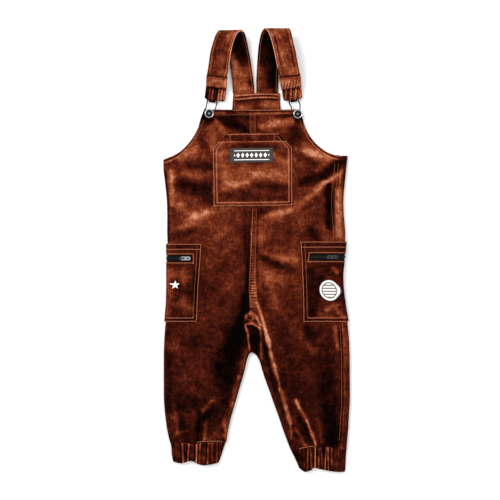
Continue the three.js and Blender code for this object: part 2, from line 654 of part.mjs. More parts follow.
// Back panels: from the waist seam down, underneath, and up onto the top of the leg to the inner seam
const WAIST = { middle: 140, left: 138.2, right: 146 };
const waistAt = (x) => mix(WAIST.middle, x < 0 ? WAIST.left : WAIST.right, Math.min(Math.abs(x) / 134, 1));
const INNER_OFFSETS = [0, 3, 6, ROLL];
const BACK_MIDDLE = 3;
const STRIP_COLUMNS = 4;
function backPanel(half) {
  const rise = half.pocketUnder - RISE_MARGIN;
  const rings = [rise, half.pocketUnder, ...half.backRings, half.seam - SEAM_GAP / 2];
  const columns = INNER_OFFSETS.length + BACK_MIDDLE - 1 + rings.length;
  const atPocket = innerRing(half, POCKET_END);
  const ringAt = (y, i) => {
    const inner = innerRing(half, y);
    const draw = (ring) => (y < POCKET_END ? drawnIn(ring, inner, atPocket) : ring);
    if (i < INNER_OFFSETS.length) return -inner + INNER_OFFSETS[i];
    const k = i - INNER_OFFSETS.length + 1;
    if (k < BACK_MIDDLE) return mix(-inner + ROLL, draw(rise), k / BACK_MIDDLE);
    return draw(rings[k - BACK_MIDDLE]);
  };
  const underneath = (j, i) => {
    if (j > 0) return { y: half.rows[j - 1], ring: ringAt(half.rows[j - 1], i) };
    const ring = ringAt(CHEST, i);
    const x = half.outer(CHEST) + half.inward * reachOf(Math.abs(ring));
    const y = waistAt(x);
    return { y, ring: i === 0 ? -innerRing(half, y) : ring };
  };
  const onTop = half.rows.filter((y) => y <= CROSS_SEAM + 0.01);
  const strip = (j, i) => {
    const y = onTop[j];
    const inner = innerRing(half, y);
    const seam = Math.min(seamRing(half, y) + (j === 0 ? 0 : SEAM_GAP / 2), inner);
    return { y, ring: mix(seam, inner, i / (STRIP_COLUMNS - 1)) };
  };
  return cloth(
    [
      patch(half, skin, half.rows.length + 1, columns, underneath),
      patch(half, skin, onTop.length, STRIP_COLUMNS, strip, (j) => j > 0),
    ],
    -CLOTH,
    0,
  );
}

// Cuffs: the front half along the top, the back half underneath and round the folds
const CUFF_ROWS = 4;
const CUFF_TOP_COLUMNS = 28;
const CUFF_UNDER_COLUMNS = 5;
function cuffHalves(half) {
  const { edges, top, foot } = half.cuff;
  const widthAt = (y) => smooth(edges, "y", "right")(y) - smooth(edges, "y", "left")(y);
  const rows = levels([top - SEAM_GAP, foot], (top - foot) / CUFF_ROWS);
  const seamIn = innerRing(half, half.hem) - seamRing(half, half.hem);
  const frontPlace = (j, i) => {
    const [first, last] = [half.seam + SEAM_GAP / 2, widthAt(rows[j]) - seamIn - SEAM_GAP / 2];
    return { y: rows[j], ring: mix(first, last, i / CUFF_TOP_COLUMNS) };
  };
  const back = [-CUFF_ROLL, -4, -2, 0, 2, 4, CUFF_ROLL].filter((ring) => ring < half.seam - 1);
  back.push(half.seam - SEAM_GAP / 2);
  const inner = [CUFF_ROLL, 4, 2, 0, -2, -4, -CUFF_ROLL].filter((ring) => -ring < seamIn - 1);
  inner.push(-seamIn + SEAM_GAP / 2);
  inner.reverse();
  const columns = inner.length + CUFF_UNDER_COLUMNS + back.length;
  const backPlace = (j, i) => {
    const y = rows[j];
    const width = widthAt(y);
    if (i < inner.length) return { y, ring: -width + inner[i] };
    const k = i - inner.length + 1;
    if (k > CUFF_UNDER_COLUMNS) return { y, ring: back[k - CUFF_UNDER_COLUMNS - 1] };
    return { y, ring: mix(-width + CUFF_ROLL, -CUFF_ROLL, k / (CUFF_UNDER_COLUMNS + 1)) };
  };
  return {
    front: cloth([patch(half, cuffSkin, rows.length, CUFF_TOP_COLUMNS + 1, frontPlace)], -CLOTH, 0),
    back: cloth([patch(half, cuffSkin, rows.length, columns, backPlace)], -CLOTH, 0),
  };
}

// Cargo pockets, made from the panels' points, with the slot for the zip, and the zip's tape
function cargoPocket(half) {
  const rows = half.pocketRows;
  const rings = half.pocketRings;
  const place = (j, i) => ({ y: rows[j], ring: rings[i] ?? half.pocketIn(rows[j]) });
  const slotRow = rows.findIndex((y) => y < half.slotTop + 0.01);
  const inSlot = (i) => rings[i] >= half.slotUnder - 0.01 && rings[i + 1] <= half.slotIn + 0.01;
  const keep = (j, i) => !(j === slotRow && inSlot(i));
  const one = patch(half, skin, rows.length, rings.length + 1, place, keep);
  return cloth([one], LAY_GAP, LAY_GAP + POCKET_CLOTH);
}
function zipTapeIn(half) {
  const rings = half.pocketRings.filter((r) => r >= half.slotUnder - 0.01 && r <= half.slotIn + 0.01);
  rings[0] += SEAM_GAP;
  rings[rings.length - 1] -= SEAM_GAP;
  const rows = [half.slotTop - SEAM_GAP, half.slotFoot + SEAM_GAP];
  const place = (j, i) => ({ y: rows[j], ring: rings[i] });
  return cloth([patch(half, skin, 2, rings.length, place)], LAY_GAP, LAY_GAP + TAPE);
}

for (const half of Object.values(HALVES)) {
  add(`front_${half.side}`, frontPanel(half), corduroy);
  add(`back_${half.side}`, backPanel(half), corduroy);
  const cuff = cuffHalves(half);
  add(`cuff_front_${half.side}`, cuff.front, corduroy);
  add(`cuff_back_${half.side}`, cuff.back, corduroy);
  add(`cargo_pocket_${half.side}`, cargoPocket(half), corduroy);
  add(`zip_tape_${half.side}`, zipTapeIn(half), zipTape);
}

// Back bib: one piece lying on the surface, from the waist seam up to the straps
const BACK_BIB_COLUMNS = 12;
const up = new THREE.Vector3(0, 0, 1);
function backBib() {
  const rows = levels([BACK_BIB[0].y, 148, 158, 172, 188, 205, 225, 243.5], 20).reverse();
  rows.push(BACK_BIB[0].y - 1);
  const points = [];
  rows.forEach((y, j) => {
    for (let i = 0; i <= BACK_BIB_COLUMNS; i++) {
      const x = mix(backLeft(y), backRight(y), i / BACK_BIB_COLUMNS);
      const level = j < rows.length - 1 ? y : waistAt(x) + SEAM_GAP;
      points.push({ at: new THREE.Vector3(x, Math.max(level, waistAt(x) + SEAM_GAP), 0), normal: up });
    }
  });
  // The lowest row but one gives way to the seam line
  const keep = (j) => j !== rows.length - 2;
  const usable = { points, quads: quadsOf(rows.length, BACK_BIB_COLUMNS + 1, false, keep) };
  return cloth([usable], 0, CLOTH);
}

// A point of the top of the garment, with its normal
function lying(x, y) {
  const half = x < centreSeam(y) ? HALVES.left : HALVES.right;
  return pointOn(half, skin, y, ringOf(Math.abs(x - half.outer(y))));
}

// Bib pocket with cut-off upper corners, and the label woven for it
function bibPocketPoint(along, height) {
  const { x, y, turn } = BIB_POCKET;
  const [cos, sin] = [Math.cos(turn), Math.sin(turn)];
  return lying(x + along * cos - height * sin, y + along * sin + height * cos);
}
function bibPocket() {
  const { width, height, cornerX, cornerY } = BIB_POCKET;
  const rows = levels([height, height - cornerY, 0], 23);
  const columns = 9;
  const points = [];
  for (const level of rows) {
    const cut = Math.max(0, level - (height - cornerY)) / cornerY;
    for (let i = 0; i < columns; i++) {
      points.push(bibPocketPoint((i / (columns - 1) - 0.5) * (width - 2 * cornerX * cut), level));
    }
  }
  return cloth([{ points, quads: quadsOf(rows.length, columns, false) }], BIB_GAP, BIB_GAP + POCKET_CLOTH);
}
function bibLabel() {
  const { width, height, above, along: beside } = LABEL_SIZE;
  const points = [];
  for (const level of [above + height, above + height / 2, above]) {
    for (const along of [-0.5, -0.17, 0.17, 0.5]) points.push(bibPocketPoint(along * width + beside, level));
  }
  const face = BIB_GAP + POCKET_CLOTH + SEAM_GAP;
  return cloth([{ points, quads: quadsOf(3, 4, false) }], face, face + LABEL);
}
add("back_bib", backBib(), corduroy);
add("bib_pocket", bibPocket(), corduroy);
add("bib_label", bibLabel(), wovenLabel);

// Straps: t runs from the back bib to the gathered end, u across from the left edge to the right
const strapTurn = (side, t) => STRAP_ENDS[side].turn * THREE.MathUtils.smoothstep(t, 0.75, 1);
function strapPoint(side, t, u) {
  const rows = STRAPS[side];
  const curve = new THREE.CatmullRomCurve3(rows.map(({ x, y, z }) => new THREE.Vector3(x, y, z)));
  const at = curve.getPoint(t);
  const k = Math.min(t * (rows.length - 1), rows.length - 1.0001);
  const [a, b] = [rows[Math.floor(k)], rows[Math.floor(k) + 1]];
  const half = mix(a.half, b.half, k % 1);
  const lean = mix(a.lean, b.lean, k % 1);
  const turn = strapTurn(side, t);
  const across = new THREE.Vector3(Math.cos(turn), Math.sin(turn), lean);
  const ahead = curve.getPoint(Math.min(t + 0.01, 1)).sub(curve.getPoint(Math.max(t - 0.01, 0)));
  const normal = across.clone().cross(ahead).normalize();
  return { at: at.addScaledVector(across, u * half), normal };
}
function strap(side) {
  const points = [];
  for (let j = 0; j <= STRAP_SECTIONS; j++) {
    for (const u of [-1, -0.5, 0, 0.5, 1]) points.push(strapPoint(side, j / STRAP_SECTIONS, u));
  }
  return cloth([{ points, quads: quadsOf(STRAP_SECTIONS + 1, 5, true) }], -STRAP_CLOTH / 2, STRAP_CLOTH / 2);
}
// Keeper: a plain band across the strap, on the side that faces up
function keeper(side) {
  const points = [];
  for (const t of KEEPER_SHARES) {
    for (const u of [-KEEPER_HALF, -0.5, 0, 0.5, KEEPER_HALF]) points.push(strapPoint(side, t, u));
  }
  const face = -STRAP_CLOTH / 2 - SEAM_GAP;
  return cloth([{ points, quads: quadsOf(4, 5, true) }], face - KEEPER_CLOTH, face);
}

// Gathered end of the strap: one layer over the buckle's bar, with a tab turned under round the bar
const END_COLUMNS = 24;
const TAB_COLUMNS = 8;
const END_MIDDLE = 5.9;
function endPlace(side, along, out, z) {
  const turn = STRAP_ENDS[side].turn;
  const last = STRAPS[side][STRAPS[side].length - 1];
  const x = last.x + along * Math.cos(turn) + out * Math.sin(turn);
  const y = last.y + along * Math.sin(turn) - out * Math.cos(turn);
  return new THREE.Vector3(x, y, z);
}
function strapEnd(side) {
  const last = STRAPS[side][STRAPS[side].length - 1];
  const end = STRAP_ENDS[side];
  const straight = end.length - END_BEND;
  const path = [];
  for (const share of [0, 0.2, 0.5, 0.8, 1]) {
    path.push({ out: mix(END_START, straight, share), z: mix(last.z, END_MIDDLE, share), tilt: 0 });
  }
  for (const angle of [36, 72, 108, 144, 180]) {
    const tilt = THREE.MathUtils.degToRad(angle);
    const z = END_MIDDLE - END_BEND * (1 - Math.cos(tilt));
    path.push({ out: straight + END_BEND * Math.sin(tilt), z, tilt });
  }
  path.push({ out: straight - TAB_UNDER, z: END_MIDDLE - 2 * END_BEND, tilt: Math.PI });
  const { turn } = end;
  const points = [];
  path.forEach(({ out, z, tilt }, j) => {
    const fade = j === 0 ? 0.25 : j < 5 ? 1 : 0;
    for (let i = 0; i <= END_COLUMNS; i++) {
      const along = (i / END_COLUMNS - 0.5) * 2 * end.half;
      const wave = (1 + Math.cos((i / END_COLUMNS) * END_WAVES * 2 * Math.PI + 0.8)) * END_WAVE_HEIGHT * 0.5;
      const leaning = Math.sin(tilt);
      const outward = new THREE.Vector3(Math.sin(turn) * leaning, -Math.cos(turn) * leaning, Math.cos(tilt));
      points.push({ at: endPlace(side, along, out, z + fade * wave), normal: outward });
    }
  });
  const tabFrom = (END_COLUMNS - TAB_COLUMNS) / 2 + end.tabColumn;
  const keep = (j, i) => j < 4 || (i >= tabFrom && i < tabFrom + TAB_COLUMNS);
  const quads = quadsOf(path.length, END_COLUMNS + 1, false, keep);
  return cloth([{ points, quads }], -END_CLOTH / 2, END_CLOTH / 2);
}

// Brace buckle: a bent wire, closed to a loop, from the bar in the strap's tab round the button's stem
function wireLoop(points, radius) {
  const curve = new THREE.CatmullRomCurve3(points, true, "centripetal");
  const [count, around] = [WIRE_SECTIONS, 8];
  const positions = [];
  const faces = [];
  for (let i = 0; i < count; i++) {
    const ahead = curve.getTangent(i / count);
    const sideways = ahead.clone().cross(up).normalize();
    const above = sideways.clone().cross(ahead);
    for (let k = 0; k < around; k++) {
      const angle = (k / around) * 2 * Math.PI;
      const at = curve.getPoint(i / count).addScaledVector(sideways, radius * Math.cos(angle));
      positions.push(...at.addScaledVector(above, radius * Math.sin(angle)));
      const [a, b] = [i * around, ((i + 1) % count) * around];
      const next = (k + 1) % around;
      faces.push(a + k, b + k, b + next, a + k, b + next, a + next);
    }
  }
  return geometryOf(positions, faces);
}
function buttonBase(side) {
  const { x, y } = BUTTONS[side];
  const around = [[0, 0], [4.5, 0], [-4.5, 0], [0, 4.5], [0, -4.5]];
  return Math.max(...around.map(([dx, dy]) => lying(x + dx, y + dy).at.z)) + SEAM_GAP;
}
function buckleWire(side) {
  const button = BUTTONS[side];
  const z = buttonBase(side) + WIRE_RISE;
  const end = STRAP_ENDS[side];
  const barZ = END_MIDDLE - END_BEND;
  const barOut = end.length - END_BEND;
  const shift = end.tabColumn * ((2 * end.half) / END_COLUMNS);
  const bar = (along, out = 0, rise = 0) => endPlace(side, shift + along, barOut + out, barZ + rise);
  const near = (bend) => new THREE.Vector3(button.x + bend.x, button.y + bend.y, z + bend.z);
  const points = [
    bar(-BAR_HALF + BAR_ROUND),
    bar(0),
    bar(BAR_HALF - BAR_ROUND),
    bar(BAR_HALF, BAR_ROUND),
    bar(BAR_HALF, ARM.out, ARM.rise),
    ...WIRE_BENDS[side].map(near),
    bar(-BAR_HALF, ARM.out, ARM.rise),
    bar(-BAR_HALF, BAR_ROUND),
  ];
  return wireLoop(points, WIRE);
}
function tackButton(side) {
  const profile = BUTTON_PROFILE.map(({ r, z }) => new THREE.Vector2(r, z));
  const lathe = new THREE.LatheGeometry(profile, BUTTON_SIDES).rotateX(Math.PI / 2);
  const { x, y } = BUTTONS[side];
  lathe.translate(x, y, buttonBase(side));
  return closed(lathe);
}

// A geometry with its doubled points merged
function closed(geometry) {
  const bare = new THREE.BufferGeometry();
  bare.setAttribute("position", geometry.getAttribute("position"));
  if (geometry.index) bare.setIndex(geometry.index);
  const merged = mergeVertices(bare, 1e-4);
  const [index, faces] = [[...merged.index.array], []];
  for (let f = 0; f < index.length; f += 3) {
    const [a, b, c] = index.slice(f, f + 3);
    if (a !== b && b !== c && c !== a) faces.push(a, b, c);
  }
  return geometryOf([...merged.getAttribute("position").array], faces);
}
for (const side of ["left", "right"]) {
  add(`strap_${side}`, strap(side), corduroy);
  add(`keeper_${side}`, keeper(side), corduroy);
  add(`strap_end_${side}`, strapEnd(side), corduroy);
  add(`buckle_wire_${side}`, buckleWire(side), darkMetal);
  add(`button_${side}`, tackButton(side), brightMetal);
}

// Zip sliders with their bridges, and the pull tabs hinged on them. Their own frame stands on the tape:
// x along the zip towards the middle of the garment, z outwards.
const solids = await Module();
solids.setup();
function solid(geometry) {
  const body = closed(geometry);
  const mesh = new solids.Mesh({
    numProp: 3,
    vertProperties: new Float32Array(body.getAttribute("position").array),
    triVerts: new Uint32Array(body.index.array),
  });
  return new solids.Manifold(mesh);
}
function extruded(shape, depth, bevel) {
  const geometry = new THREE.ExtrudeGeometry(shape, {
    depth: depth - 2 * bevel,
    bevelEnabled: bevel > 0,
    bevelThickness: bevel,
    bevelSize: bevel,
    bevelOffset: -bevel,
    bevelSegments: 1,
    curveSegments: 5,
  });
  return geometry.translate(0, 0, bevel);
}
function sliderFrame(half) {
  const { ring, slope } = SLIDERS[half.side];
  const { at, normal } = pointOn(half, skin, SLOT_MIDDLE[half.side], ring);
  const ahead = pointOn(half, skin, SLOT_MIDDLE[half.side], ring + 1).at.sub(at).normalize();
  const z = normal.clone();
  const x = ahead.addScaledVector(z, -ahead.dot(z)).normalize();
  const y = z.clone().cross(x);
  const base = at.addScaledVector(z, LAY_GAP + TAPE + SLIDER.above);
  return { frame: new THREE.Matrix4().makeBasis(x, y, z).setPosition(base), slope };
}
function zipSlider(half) {
  const plan = new THREE.Shape();
  const { tail, nose, noseCut, bevel } = SLIDER;
  const [long, wide] = [SLIDER.half, SLIDER.width / 2];
  plan.moveTo(-long, -wide + tail).lineTo(-long + tail, -wide);
  plan.lineTo(long - nose, -wide).lineTo(long, -wide + noseCut);
  plan.lineTo(long, wide - noseCut).lineTo(long - nose, wide);
  plan.lineTo(-long + tail, wide).lineTo(-long, wide - tail);
  const body = extruded(plan, SLIDER.height, bevel);
  const arch = new THREE.Shape();
  const { half: reach, wall, height, shoulder, inner, root } = BRIDGE;
  arch.moveTo(-reach, -root).lineTo(-reach, height - shoulder).lineTo(-reach + shoulder, height);
  arch.lineTo(reach - shoulder, height).lineTo(reach, height - shoulder).lineTo(reach, -root);
  arch.lineTo(reach - wall, -root).lineTo(reach - wall, height - inner);
  arch.lineTo(reach - inner, height - wall).lineTo(-reach + inner, height - wall);
  arch.lineTo(-reach + wall, height - inner).lineTo(-reach + wall, -root);
  const bridge = extruded(arch, BRIDGE.width, 0).translate(0, 0, -BRIDGE.width / 2);
  bridge.rotateX(Math.PI / 2).translate(0, 0, SLIDER.height);
  const joined = solid(body).add(solid(bridge)).getMesh();
  const geometry = geometryOf([...joined.vertProperties], [...joined.triVerts]);
  return geometry.applyMatrix4(sliderFrame(half).frame);
}
function zipPull(half) {
  const { bar, start, length, width, thick, eye } = PULL;
  const { corner, round, play, windowStart, windowEnd, windowHalf } = PULL_SHAPE;
  const wide = width / 2;
  const plan = new THREE.Shape();
  plan.moveTo(-bar, -wide + corner).lineTo(-bar + corner, -wide).lineTo(length - round, -wide);
  plan.quadraticCurveTo(length, -wide, length, 0).quadraticCurveTo(length, wide, length - round, wide);
  plan.lineTo(-bar + corner, wide).lineTo(-bar, wide - corner);
  const opening = new THREE.Path();
  const eyeHalf = eye / 2 + play;
  opening.moveTo(bar, -eyeHalf).lineTo(bar, eyeHalf).lineTo(start, eyeHalf).lineTo(start, -eyeHalf);
  plan.holes.push(opening);
  const tip = new THREE.Path();
  const [near, far] = [start + windowStart, length - windowEnd];
  tip.moveTo(near, -windowHalf).lineTo(near, windowHalf).lineTo(far, windowHalf).lineTo(far, -windowHalf);
  plan.holes.push(tip);
  const { frame, slope } = sliderFrame(half);
  const tab = extruded(plan, thick, 0).translate(0, 0, -thick / 2);
  tab.rotateY(-slope).translate(0, 0, PULL.height);
  return closed(tab).applyMatrix4(frame);
}
for (const half of Object.values(HALVES)) {
  add(`zip_slider_${half.side}`, zipSlider(half), darkMetal);
  add(`zip_pull_${half.side}`, zipPull(half), darkMetal);
}

// The origin is under the middle of the outline
const box = new THREE.Box3().setFromObject(overalls);
const middle = box.getCenter(new THREE.Vector3());
for (const mesh of overalls.children) mesh.geometry.translate(-middle.x, -middle.y, -box.min.z);

export default overalls;
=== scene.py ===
"""Toddler overalls in rust-brown fine corduroy, laid flat on their back and seen from above."""

import math

import bpy
import numpy as np
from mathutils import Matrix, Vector


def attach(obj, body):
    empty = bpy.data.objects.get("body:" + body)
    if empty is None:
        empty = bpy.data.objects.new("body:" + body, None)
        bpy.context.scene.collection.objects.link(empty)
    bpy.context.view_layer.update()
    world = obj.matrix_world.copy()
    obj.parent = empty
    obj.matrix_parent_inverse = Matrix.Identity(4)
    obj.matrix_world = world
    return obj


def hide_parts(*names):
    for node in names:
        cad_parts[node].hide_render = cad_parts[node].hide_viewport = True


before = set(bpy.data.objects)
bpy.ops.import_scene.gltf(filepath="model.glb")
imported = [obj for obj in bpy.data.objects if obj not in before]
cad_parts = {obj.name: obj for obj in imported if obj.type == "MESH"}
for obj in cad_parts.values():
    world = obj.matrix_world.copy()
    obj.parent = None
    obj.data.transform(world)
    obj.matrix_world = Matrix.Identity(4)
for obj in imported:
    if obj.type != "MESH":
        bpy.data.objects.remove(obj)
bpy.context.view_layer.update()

# Corduroy.
# The whole garment is cut from one cloth: a fine needlecord in rust brown with a short velvety pile.
# The pile catches the light where it leans away and goes nearly black where it leans in, so each mesh
# carries one value from -1, dark, to 1, light: the lie of its pile together with painted shade in troughs,
# hollows and under parts and painted highlights on ridges, edges and seams, and its wales as a map in mm.
WALE = 1.8
PILE_DARK = (0.0008, 0.0002, 0.0002, 1)
PILE_LOW = (0.0195, 0.0026, 0.0013, 1)
PILE_MID = (0.072, 0.0098, 0.0040, 1)
PILE_HIGH = (0.208, 0.046, 0.0150, 1)
PILE_LIGHT = (0.56, 0.240, 0.145, 1)


class Nodes:
    """Short way to lay out and join the nodes of a material."""

    def __init__(self, name):
        self.material = bpy.data.materials.new(name)
        self.material.use_nodes = True
        self.tree = self.material.node_tree
        self.shader = self.tree.nodes["Principled BSDF"]

    def add(self, kind, settings=None, **inputs):
        node = self.tree.nodes.new(kind)
        for key, value in (settings or {}).items():
            setattr(node, key, value)
        for key, value in inputs.items():
            self.feed(node.inputs[key.replace("_", " ")], value)
        return node

    def feed(self, socket, value):
        if isinstance(value, bpy.types.NodeSocket):
            self.tree.links.new(value, socket)
        else:
            socket.default_value = value

    def math(self, operation, a, b=0.0):
        node = self.tree.nodes.new("ShaderNodeMath")
        node.operation = operation
        self.feed(node.inputs[0], a)
        self.feed(node.inputs[1], b)
        return node.outputs[0]

    def noise(self, vector, scale, detail=2.0, roughness=0.5):
        node = self.add("ShaderNodeTexNoise", Vector=vector, Scale=scale, Detail=detail, Roughness=roughness)
        return node.outputs["Fac"]

    def ramp(self, value, stops):
        node = self.add("ShaderNodeValToRGB", Fac=value)
        elements = node.color_ramp.elements
        elements[0].position, elements[0].color = stops[0]
        elements[1].position, elements[1].color = stops[-1]
        for place, color in stops[1:-1]:
            elements.new(place).color = color
        return node.outputs["Color"]

    def wave(self, value, length):
        return self.math("COSINE", self.math("MULTIPLY", value, 2 * math.pi / length))

    def mix(self, share, first, second):
        node = self.add("ShaderNodeMix", {"data_type": "RGBA"})
        for k, value in ((0, share), (6, first), (7, second)):
            self.feed(node.inputs[k], value)
        return node.outputs[2]

    def relief(self, height, strength, depth):
        node = self.add("ShaderNodeBump", Height=height, Strength=strength, Distance=depth)
        return node.outputs["Normal"]

    def finish(self, **shown):
        """The material, once its surface is fed what it shows."""
        for key, value in shown.items():
            self.feed(self.shader.inputs[key.replace("_", " ")], value)
        return self.material


def corduroy_cloth(name):
    n = Nodes(name)
    place = n.add("ShaderNodeTexCoord").outputs["Object"]
    nap_and_shading = n.add("ShaderNodeAttribute", {"attribute_name": "nap_and_shading"}).outputs["Fac"]
    wales = n.add("ShaderNodeUVMap", {"uv_map": "wales"}).outputs["UV"]
    across = n.add("ShaderNodeSeparateXYZ", Vector=wales).outputs["X"]
    # The wales waver a little and are worn to different heights
    waver = n.math("MULTIPLY", n.noise(place, 90.0, 2.0), 0.9)
    ridge = n.math("ADD", n.math("MULTIPLY", n.wave(n.math("ADD", across, waver), WALE), 0.5), 0.5)
    tufts = n.noise(place, 1500.0, 2.0, 0.7)
    stretched = n.add("ShaderNodeMapping", Vector=place, Scale=(1.0, 0.3, 1.0)).outputs["Vector"]
    streaks = n.noise(stretched, 420.0, 3.0, 0.65)
    patches = n.noise(place, 55.0, 4.0, 0.62)
    clouds = n.noise(place, 16.0, 3.0, 0.55)
    flattened = n.add("ShaderNodeMapping", Vector=place, Scale=(0.7, 1.2, 1.0)).outputs["Vector"]
    crushed = n.noise(flattened, 170.0, 3.0, 0.7)
    # Lie of the pile with its painted light and shade, from dark to light; each wale's crest is painted
    # lighter than its groove
    value = n.math("ADD", n.math("MULTIPLY", nap_and_shading, 0.40), 0.46)
    for part, strength in ((clouds, 0.42), (patches, 0.55), (crushed, 0.50), (streaks, 0.42), (ridge, 0.13)):
        value = n.math("ADD", value, n.math("MULTIPLY", n.math("SUBTRACT", part, 0.5), strength))
    color = n.ramp(
        value,
        [(0.05, PILE_DARK), (0.28, PILE_LOW), (0.48, PILE_MID), (0.72, PILE_HIGH), (1.0, PILE_LIGHT)],
    )
    height = n.math("ADD", n.math("MULTIPLY", ridge, 0.75), n.math("MULTIPLY", tufts, 0.55))
    height = n.math("ADD", height, n.math("MULTIPLY", streaks, 0.8))
    return n.finish(
        Base_Color=color,
        Normal=n.relief(height, 0.75, 0.0005),
        Roughness=0.86,
        Specular_IOR_Level=0.012,
        Sheen_Weight=0.03,
        Sheen_Roughness=0.42,
        Sheen_Tint=(1.0, 0.30, 0.16, 1),
    )


corduroy = corduroy_cloth("corduroy")


def smooth(rows):
    """A smooth curve through rows of (t, value), as a function of an array."""
    rows = sorted(rows)
    t = np.array([row[0] for row in rows], float)
    v = np.array([row[1] for row in rows], float)
    m = np.empty(len(t))
    m[1:-1] = (v[2:] - v[:-2]) / (t[2:] - t[:-2])
    m[0], m[-1] = (v[1] - v[0]) / (t[1] - t[0]), (v[-1] - v[-2]) / (t[-1] - t[-2])

    def curve(x):
        x = np.clip(np.asarray(x, float), t[0], t[-1])
        i = np.clip(np.searchsorted(t, x, side="right") - 1, 0, len(t) - 2)
        span = t[i + 1] - t[i]
        u = (x - t[i]) / span
        rise = v[i + 1] - v[i]
        m0, m1 = m[i] * span, m[i + 1] * span
        return v[i] + m0 * u + (3 * rise - 2 * m0 - m1) * u**2 + (m0 + m1 - 2 * rise) * u**3

    return curve


def step(x, low, high):
    """0 up to low and 1 from high on, with a smooth rise between; falls where high is the smaller."""
    u = np.clip((x - low) / (high - low), 0, 1)
    return u * u * (3 - 2 * u)


def bell(off, width):
    """1 where off is 0, and nearly 0 from twice the width on."""
    return np.exp(-((off / width) ** 2))


def unit(vectors):
    return vectors / (np.linalg.norm(vectors, axis=-1, keepdims=True) + 1e-12)


def read_off(rows, x, column=1):
    """A column of a table, straight between its rows."""
    rows = np.array(rows, float)
    return np.interp(x, rows[:, 0], rows[:, column])


def off_segment(x, y, x0, y0, x1, y1):
    """Distance from a straight line in plan, and the share of its length."""
    dx, dy = x1 - x0, y1 - y0
    t = np.clip(((x - x0) * dx + (y - y0) * dy) / (dx * dx + dy * dy), 0, 1)
    return np.hypot(x - x0 - t * dx, y - y0 - t * dy), t


# Outline and folds.
# The garment lies as a flattened tube whose sides are rolled folds. Places are in mm from its middle on
# the surface: x to the right, y towards the straps. A ring coordinate is the distance inwards from the
# outer fold along the top; negative values run inwards underneath.
SHIFT = (-0.207, -0.373)  # the outline's middle, against the tables
ROLL = 9.0
ROLL_MIDDLE = 5.6
LAY_HEIGHT = 7.2
LEAST_HEIGHT = 3.6
ROLL_LIFT = 3.8
ROLL_SPREAD = 20.0
POCKET_LIFT = 2.3  # thickness of a cargo pocket, which lies under the back too
POCKET_HALF = 58.0
POCKET_FOOT = -111.5
BIB_TOP = 218.5
CROSS_SEAM = -94.5
CROTCH = (-7.0, -158.1)
LEFT, RIGHT = "left", "right"
SIDES = [
    # y, left, right
    (144, -144.9, 141.8),
    (139, -144.6, 140.7),
    (124, -144.0, 139.2),
    (105, -141.8, 137.2),
    (80, -139.2, 135.0),
    (55, -138.3, 135.6),
    (30, -138.4, 137.6),
    (12, -138.0, 137.4),
    (-10, -138.1, 135.8),
    (-35, -138.0, 132.9),
    (-60, -138.0, 133.5),
    (-85, -138.7, 136.6),
    (-115, -141.2, 141.4),
    (-150, -143.4, 144.2),
    (-200, -143.7, 144.9),
    (-235, -143.4, 144.9),
    (-260, -141.1, 143.4),
    (-280, -138.3, 142.3),
    (-297, -134.7, 140.7),
    (-309, -132.2, 139.7),
]
INNER_LEGS = [
    # y, left, right
    (-158.1, -7.15, -6.85),
    (-161, -10.9, -2.3),
    (-166, -13.2, 1.6),
    (-174, -15.5, 5.4),
    (-185, -17.8, 8.5),
    (-200, -22.0, 13.2),
    (-220, -27.9, 20.6),
    (-240, -33.6, 27.6),
    (-260, -39.5, 34.9),
    (-280, -43.9, 41.5),
    (-297, -46.4, 48.2),
    (-309, -49.6, 53.2),
]
CENTRE_SEAM = [(BIB_TOP, -6.2), (178, -5.4), (67, -4.6), (-15, -5.0), (-60, -5.4), (CROSS_SEAM, -4.7)]
CENTRE_SEAM += [(CROTCH[1], CROTCH[0])]
LEG_SEAMS = [
    # y, left, right
    (-94.5, -4.9, -4.5),
    (-105, -12.4, 4.6),
    (-118, -16.3, 10.5),
    (-135, -14.8, 16.0),
    (-150, -13.4, 18.8),
    (-158.1, -12.6, 20.4),
    (-166, -14.4, 22.6),
    (-185, -18.9, 28.1),
    (-200, -23.1, 32.6),
    (-220, -29.0, 37.4),
    (-240, -34.7, 43.4),
    (-260, -40.6, 50.2),
    (-280, -45.0, 56.4),
    (-297, -47.5, 61.2),
    (-309, -50.7, 65.1),
]
ARMHOLE = {
    LEFT: [(-144.3, 139.5), (-134, 143.6), (-128.7, 146.4), (-119.4, 152), (-107.7, 163)]
    + [(-98.7, 175), (-90.7, 190), (-86.5, 205), (-81.4, BIB_TOP)],
    RIGHT: [(68.6, BIB_TOP), (71.5, 205), (76.1, 190), (83.9, 175.5), (93.8, 163.6)]
    + [(108.5, 152.5), (122, 147), (132, 145), (141.4, 144)],
}
BACK_BIB = [
    # y, left, right
    (143.2, -134, 131),
    (148, -108, 106),
    (158, -83, 81),
    (172, -61, 60),
    (188, -47, 46),
    (205, -39.5, 39.5),
    (225, -37.4, 37.2),
    (243.5, -36.2, 36.2),
]
POCKET_TOP = {LEFT: 10.0, RIGHT: 13.5}
SEAM_RING = {LEFT: -3.0, RIGHT: 10.0}  # the side seams: the left one is under the fold
HALF_GAP = 0.15  # half of the gap between two pieces at a seam
INWARD = {LEFT: 1.0, RIGHT: -1.0}
HEM = {LEFT: -299.0, RIGHT: -309.0}


def both_sides(rows):
    """Smooth curves through the left and the right column of rows of (y, left, right)."""
    left, right = [(y, x) for y, x, _ in rows], [(y, x) for y, _, x in rows]
    return {LEFT: smooth(left), RIGHT: smooth(right)}


outer = both_sides(SIDES)
inner = both_sides(INNER_LEGS)
leg_seam = both_sides(LEG_SEAMS)
back_edge = both_sides(BACK_BIB)
centre_seam = smooth(CENTRE_SEAM)
